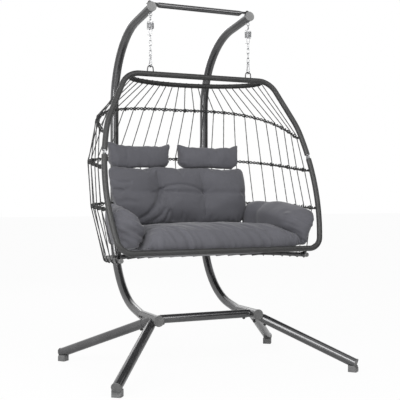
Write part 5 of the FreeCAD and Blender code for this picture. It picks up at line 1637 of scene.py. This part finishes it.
class EGGCHAIR_OT_head_pillows(bpy.types.Operator):
    """Fill the two head pillows and pull out their corners"""

    bl_idname = "eggchair.head_pillows"
    bl_label = "Head pillows"

    def execute(self, context):
        for name, side in SIDES.items():
            (start, end), under, hang = PILLOWS[name]
            node = name + "_head_pillow"
            low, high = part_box(node)
            box_low = Vector((start, low.y + 0.006, low.z - under))
            box_high = Vector((end, high.y + 0.016, high.z + 0.004))
            pad = fitted(solid_copy(node, 1e-5), box_low, box_high)
            middle = (box_low + box_high) / 2
            half = (box_high - box_low) / 2

            def fuller(co):
                up = (co.z - middle.z) / half.z
                return Vector((co.x, co.y, middle.z + half.z * math.copysign(abs(up) ** 0.8, up)))

            reshaped(pad, fuller)
            filled(pad, 0.0055, PILLOW_SWELL)
            fitted(pad, box_low, box_high)

            def fold(point, normal):
                gather = share_of(abs(point.x - middle.x) / half.x, 0.72, 1.0)
                ridge = waves(point.z / 0.014, 0.3, 6.0 * side)
                crumple = waves(point.x / 0.024, point.z / 0.05, 2.0 * side)
                soft = waves(point.x / 0.07, point.z / 0.06, 3.0 * side)
                dip = bell(abs(point.x - middle.x - 0.01 * side), 0.05) * bell(point.z - middle.z, 0.03)
                return 0.0045 * ridge * gather + 0.0026 * crumple + 0.004 * soft - 0.004 * dip

            pushed(pad, fold)

            def cornered(co):
                across = (co.x - middle.x) / half.x
                up = (co.z - middle.z) / half.z
                point = share_of(abs(across), 0.72, 1.0) * share_of(abs(up), 0.35, 1.0)
                waist = 0.011 * (1.0 - across * across) * abs(up) ** 3
                out, rise = (0.013, 0.014) if up > 0 else (-0.014, -0.008)
                front = share_of(middle.y - co.y, 0.0, half.y) * share_of(-up, 0.0, 0.8)
                return Vector((co.x + way_of(across) * out * point, co.y,
                               co.z + way_of(up) * (rise * point - 0.25 * waist) - hang * front))

            reshaped(pad, cornered)
            finish_cushion(pad, name + "_head_pad", node)
        return {"FINISHED"}


# Stage: each lamp's place, size and power, and each dark card's name, place, size and facing
LAMPS = (
    ((-2.6, -3.0, 3.0), 2.0, 80.0),
    ((-3.3, -1.6, 1.5), 1.3, 38.0),
    ((1.6, -4.4, 3.2), 2.0, 50.0),
    ((0.4, 3.4, 3.0), 2.0, 26.0),
)
CARDS = (
    ("card_overhead", (1.3, 2.4, 4.3), (6.4, 5.4), (0.0, 0.0, 1.0)),
    ("card_right_front", (2.0, -2.5, 1.2), (1.9, 2.6), (-0.6, 0.8, 0.0)),
    ("card_right", (3.4, -0.6, 1.2), (2.6, 2.6), (-1.0, 0.2, 0.0)),
)
FLOOR_SIZE = 60.0
FLOOR_GLOW = 0.94
WORLD_LIGHT = 0.55
CHAIR_MIDDLE = Vector((0, 0, 1.0))


def make_floor():
    """A pale floor that is seen nearly white and still takes the shadow."""
    bpy.ops.mesh.primitive_plane_add(size=FLOOR_SIZE, location=(0, 0, 0))
    floor = bpy.context.object
    floor.name = "floor"
    material, tree, shader = blank_finish("pale_floor", {"Base Color": grey(0.86), "Roughness": 0.9})
    glow = add_node(tree, "ShaderNodeEmission", {"Color": grey(1.0), "Strength": 1.0})
    seen = add_node(tree, "ShaderNodeLightPath").outputs["Is Camera Ray"]
    share = add_node(tree, "ShaderNodeMath", {0: seen, 1: FLOOR_GLOW}, operation="MULTIPLY")
    inputs = {0: share.outputs[0], 1: shader.outputs[0], 2: glow.outputs[0]}
    both = add_node(tree, "ShaderNodeMixShader", inputs)
    feed(tree, tree.nodes["Material Output"], {"Surface": both.outputs[0]})
    floor.data.materials.append(material)


def make_world(scene):
    """White where it is seen, also in metal and glass, and dimmer as light."""
    world = bpy.data.worlds.new("studio")
    scene.world = world
    world.use_nodes = True
    tree = world.node_tree
    rays = add_node(tree, "ShaderNodeLightPath")
    seen = rays.outputs["Is Camera Ray"]
    for other in ("Is Glossy Ray", "Is Transmission Ray"):
        inputs = {0: seen, 1: rays.outputs[other]}
        seen = add_node(tree, "ShaderNodeMath", inputs, operation="MAXIMUM").outputs[0]
    strength = add_node(tree, "ShaderNodeMapRange", {"Value": seen, "To Min": WORLD_LIGHT, "To Max": 1.0})
    feed(tree, tree.nodes["Background"], {"Color": grey(1.0), "Strength": strength.outputs["Result"]})


def make_lights():
    for place, size, power in LAMPS:
        bpy.ops.object.light_add(type="AREA", location=place)
        lamp = bpy.context.object
        lamp.data.size = size
        lamp.data.energy = power
        lamp.rotation_euler = (CHAIR_MIDDLE - Vector(place)).to_track_quat("-Z", "Y").to_euler()
    dark = blank_finish("dark_card", {"Base Color": grey(0.004), "Roughness": 1.0})[0]
    for name, place, size, facing in CARDS:
        rotation = Vector(facing).to_track_quat("Z", "Y").to_euler()
        bpy.ops.mesh.primitive_plane_add(size=1.0, location=place, rotation=rotation)
        card = bpy.context.object
        card.name = name
        card.scale = (size[0], size[1], 1.0)
        for ray in ("camera", "diffuse", "transmission", "shadow"):
            setattr(card, "visible_" + ray, False)
        card.data.materials.append(dark)


def make_camera(scene):
    bpy.ops.object.camera_add(location=CAMERA_PLACE)
    camera = bpy.context.object
    c, s = turn(CAMERA_YAW_DEG)
    level, height = turn(CAMERA_PITCH_DEG)
    aim = Vector((s * level, c * level, height)).to_track_quat("-Z", "Y").to_matrix().to_4x4()
    roll = Matrix.Rotation(math.radians(CAMERA_ROLL_DEG), 4, "Z")
    camera.matrix_world = Matrix.Translation(Vector(CAMERA_PLACE)) @ aim @ roll
    camera.data.lens = CAMERA_LENS
    camera.data.sensor_width = 36.0
    camera.data.clip_start = 0.05
    camera.data.clip_end = 200.0
    scene.camera = camera


class EGGCHAIR_OT_stage(bpy.types.Operator):
    """Set the floor, the lamps and the camera"""

    bl_idname = "eggchair.stage"
    bl_label = "Stage"

    def execute(self, context):
        context.scene.view_settings.view_transform = "Standard"
        pick()
        make_floor()
        make_world(context.scene)
        make_lights()
        make_camera(context.scene)
        return {"FINISHED"}


class EGGCHAIR_PT_panel(bpy.types.Panel):
    """Lists the pieces of the chair"""

    bl_label = "Egg chair"
    bl_idname = "EGGCHAIR_PT_panel"
    bl_space_type = "VIEW_3D"
    bl_region_type = "UI"
    bl_category = "Egg chair"

    def draw(self, context):
        for name in ChairSizes.__annotations__:
            self.layout.prop(context.scene.egg_chair_sizes, name)
        for name in ChairColours.__annotations__:
            self.layout.prop(context.scene.egg_chair_colours, name)
        for operator in OPERATORS:
            self.layout.operator(operator.bl_idname)


OPERATORS = (
    EGGCHAIR_OT_stage, EGGCHAIR_OT_stand_tubes, EGGCHAIR_OT_upper_crossbar, EGGCHAIR_OT_hubs,
    EGGCHAIR_OT_end_caps, EGGCHAIR_OT_foot_pads, EGGCHAIR_OT_stand_bolts, EGGCHAIR_OT_eye_bolts,
    EGGCHAIR_OT_spring_hangers, EGGCHAIR_OT_chains, EGGCHAIR_OT_snap_hooks, EGGCHAIR_OT_basket_loop,
    EGGCHAIR_OT_loop_hinges, EGGCHAIR_OT_rails, EGGCHAIR_OT_arcs, EGGCHAIR_OT_net,
    EGGCHAIR_OT_seat_cushion, EGGCHAIR_OT_back_cushion, EGGCHAIR_OT_arm_cushions, EGGCHAIR_OT_head_pillows,
)
CLASSES = (ChairSizes, ChairColours) + OPERATORS + (EGGCHAIR_PT_panel,)


def register():
    for cls in CLASSES:
        bpy.utils.register_class(cls)
    bpy.types.Scene.egg_chair_sizes = bpy.props.PointerProperty(type=ChairSizes)
    bpy.types.Scene.egg_chair_colours = bpy.props.PointerProperty(type=ChairColours)


def unregister():
    del bpy.types.Scene.egg_chair_colours
    del bpy.types.Scene.egg_chair_sizes
    for cls in reversed(CLASSES):
        bpy.utils.unregister_class(cls)


def main():
    register()
    for operator in OPERATORS:
        group, name = operator.bl_idname.split(".")
        getattr(getattr(bpy.ops, group), name)()


if __name__ == "__main__":
    main()
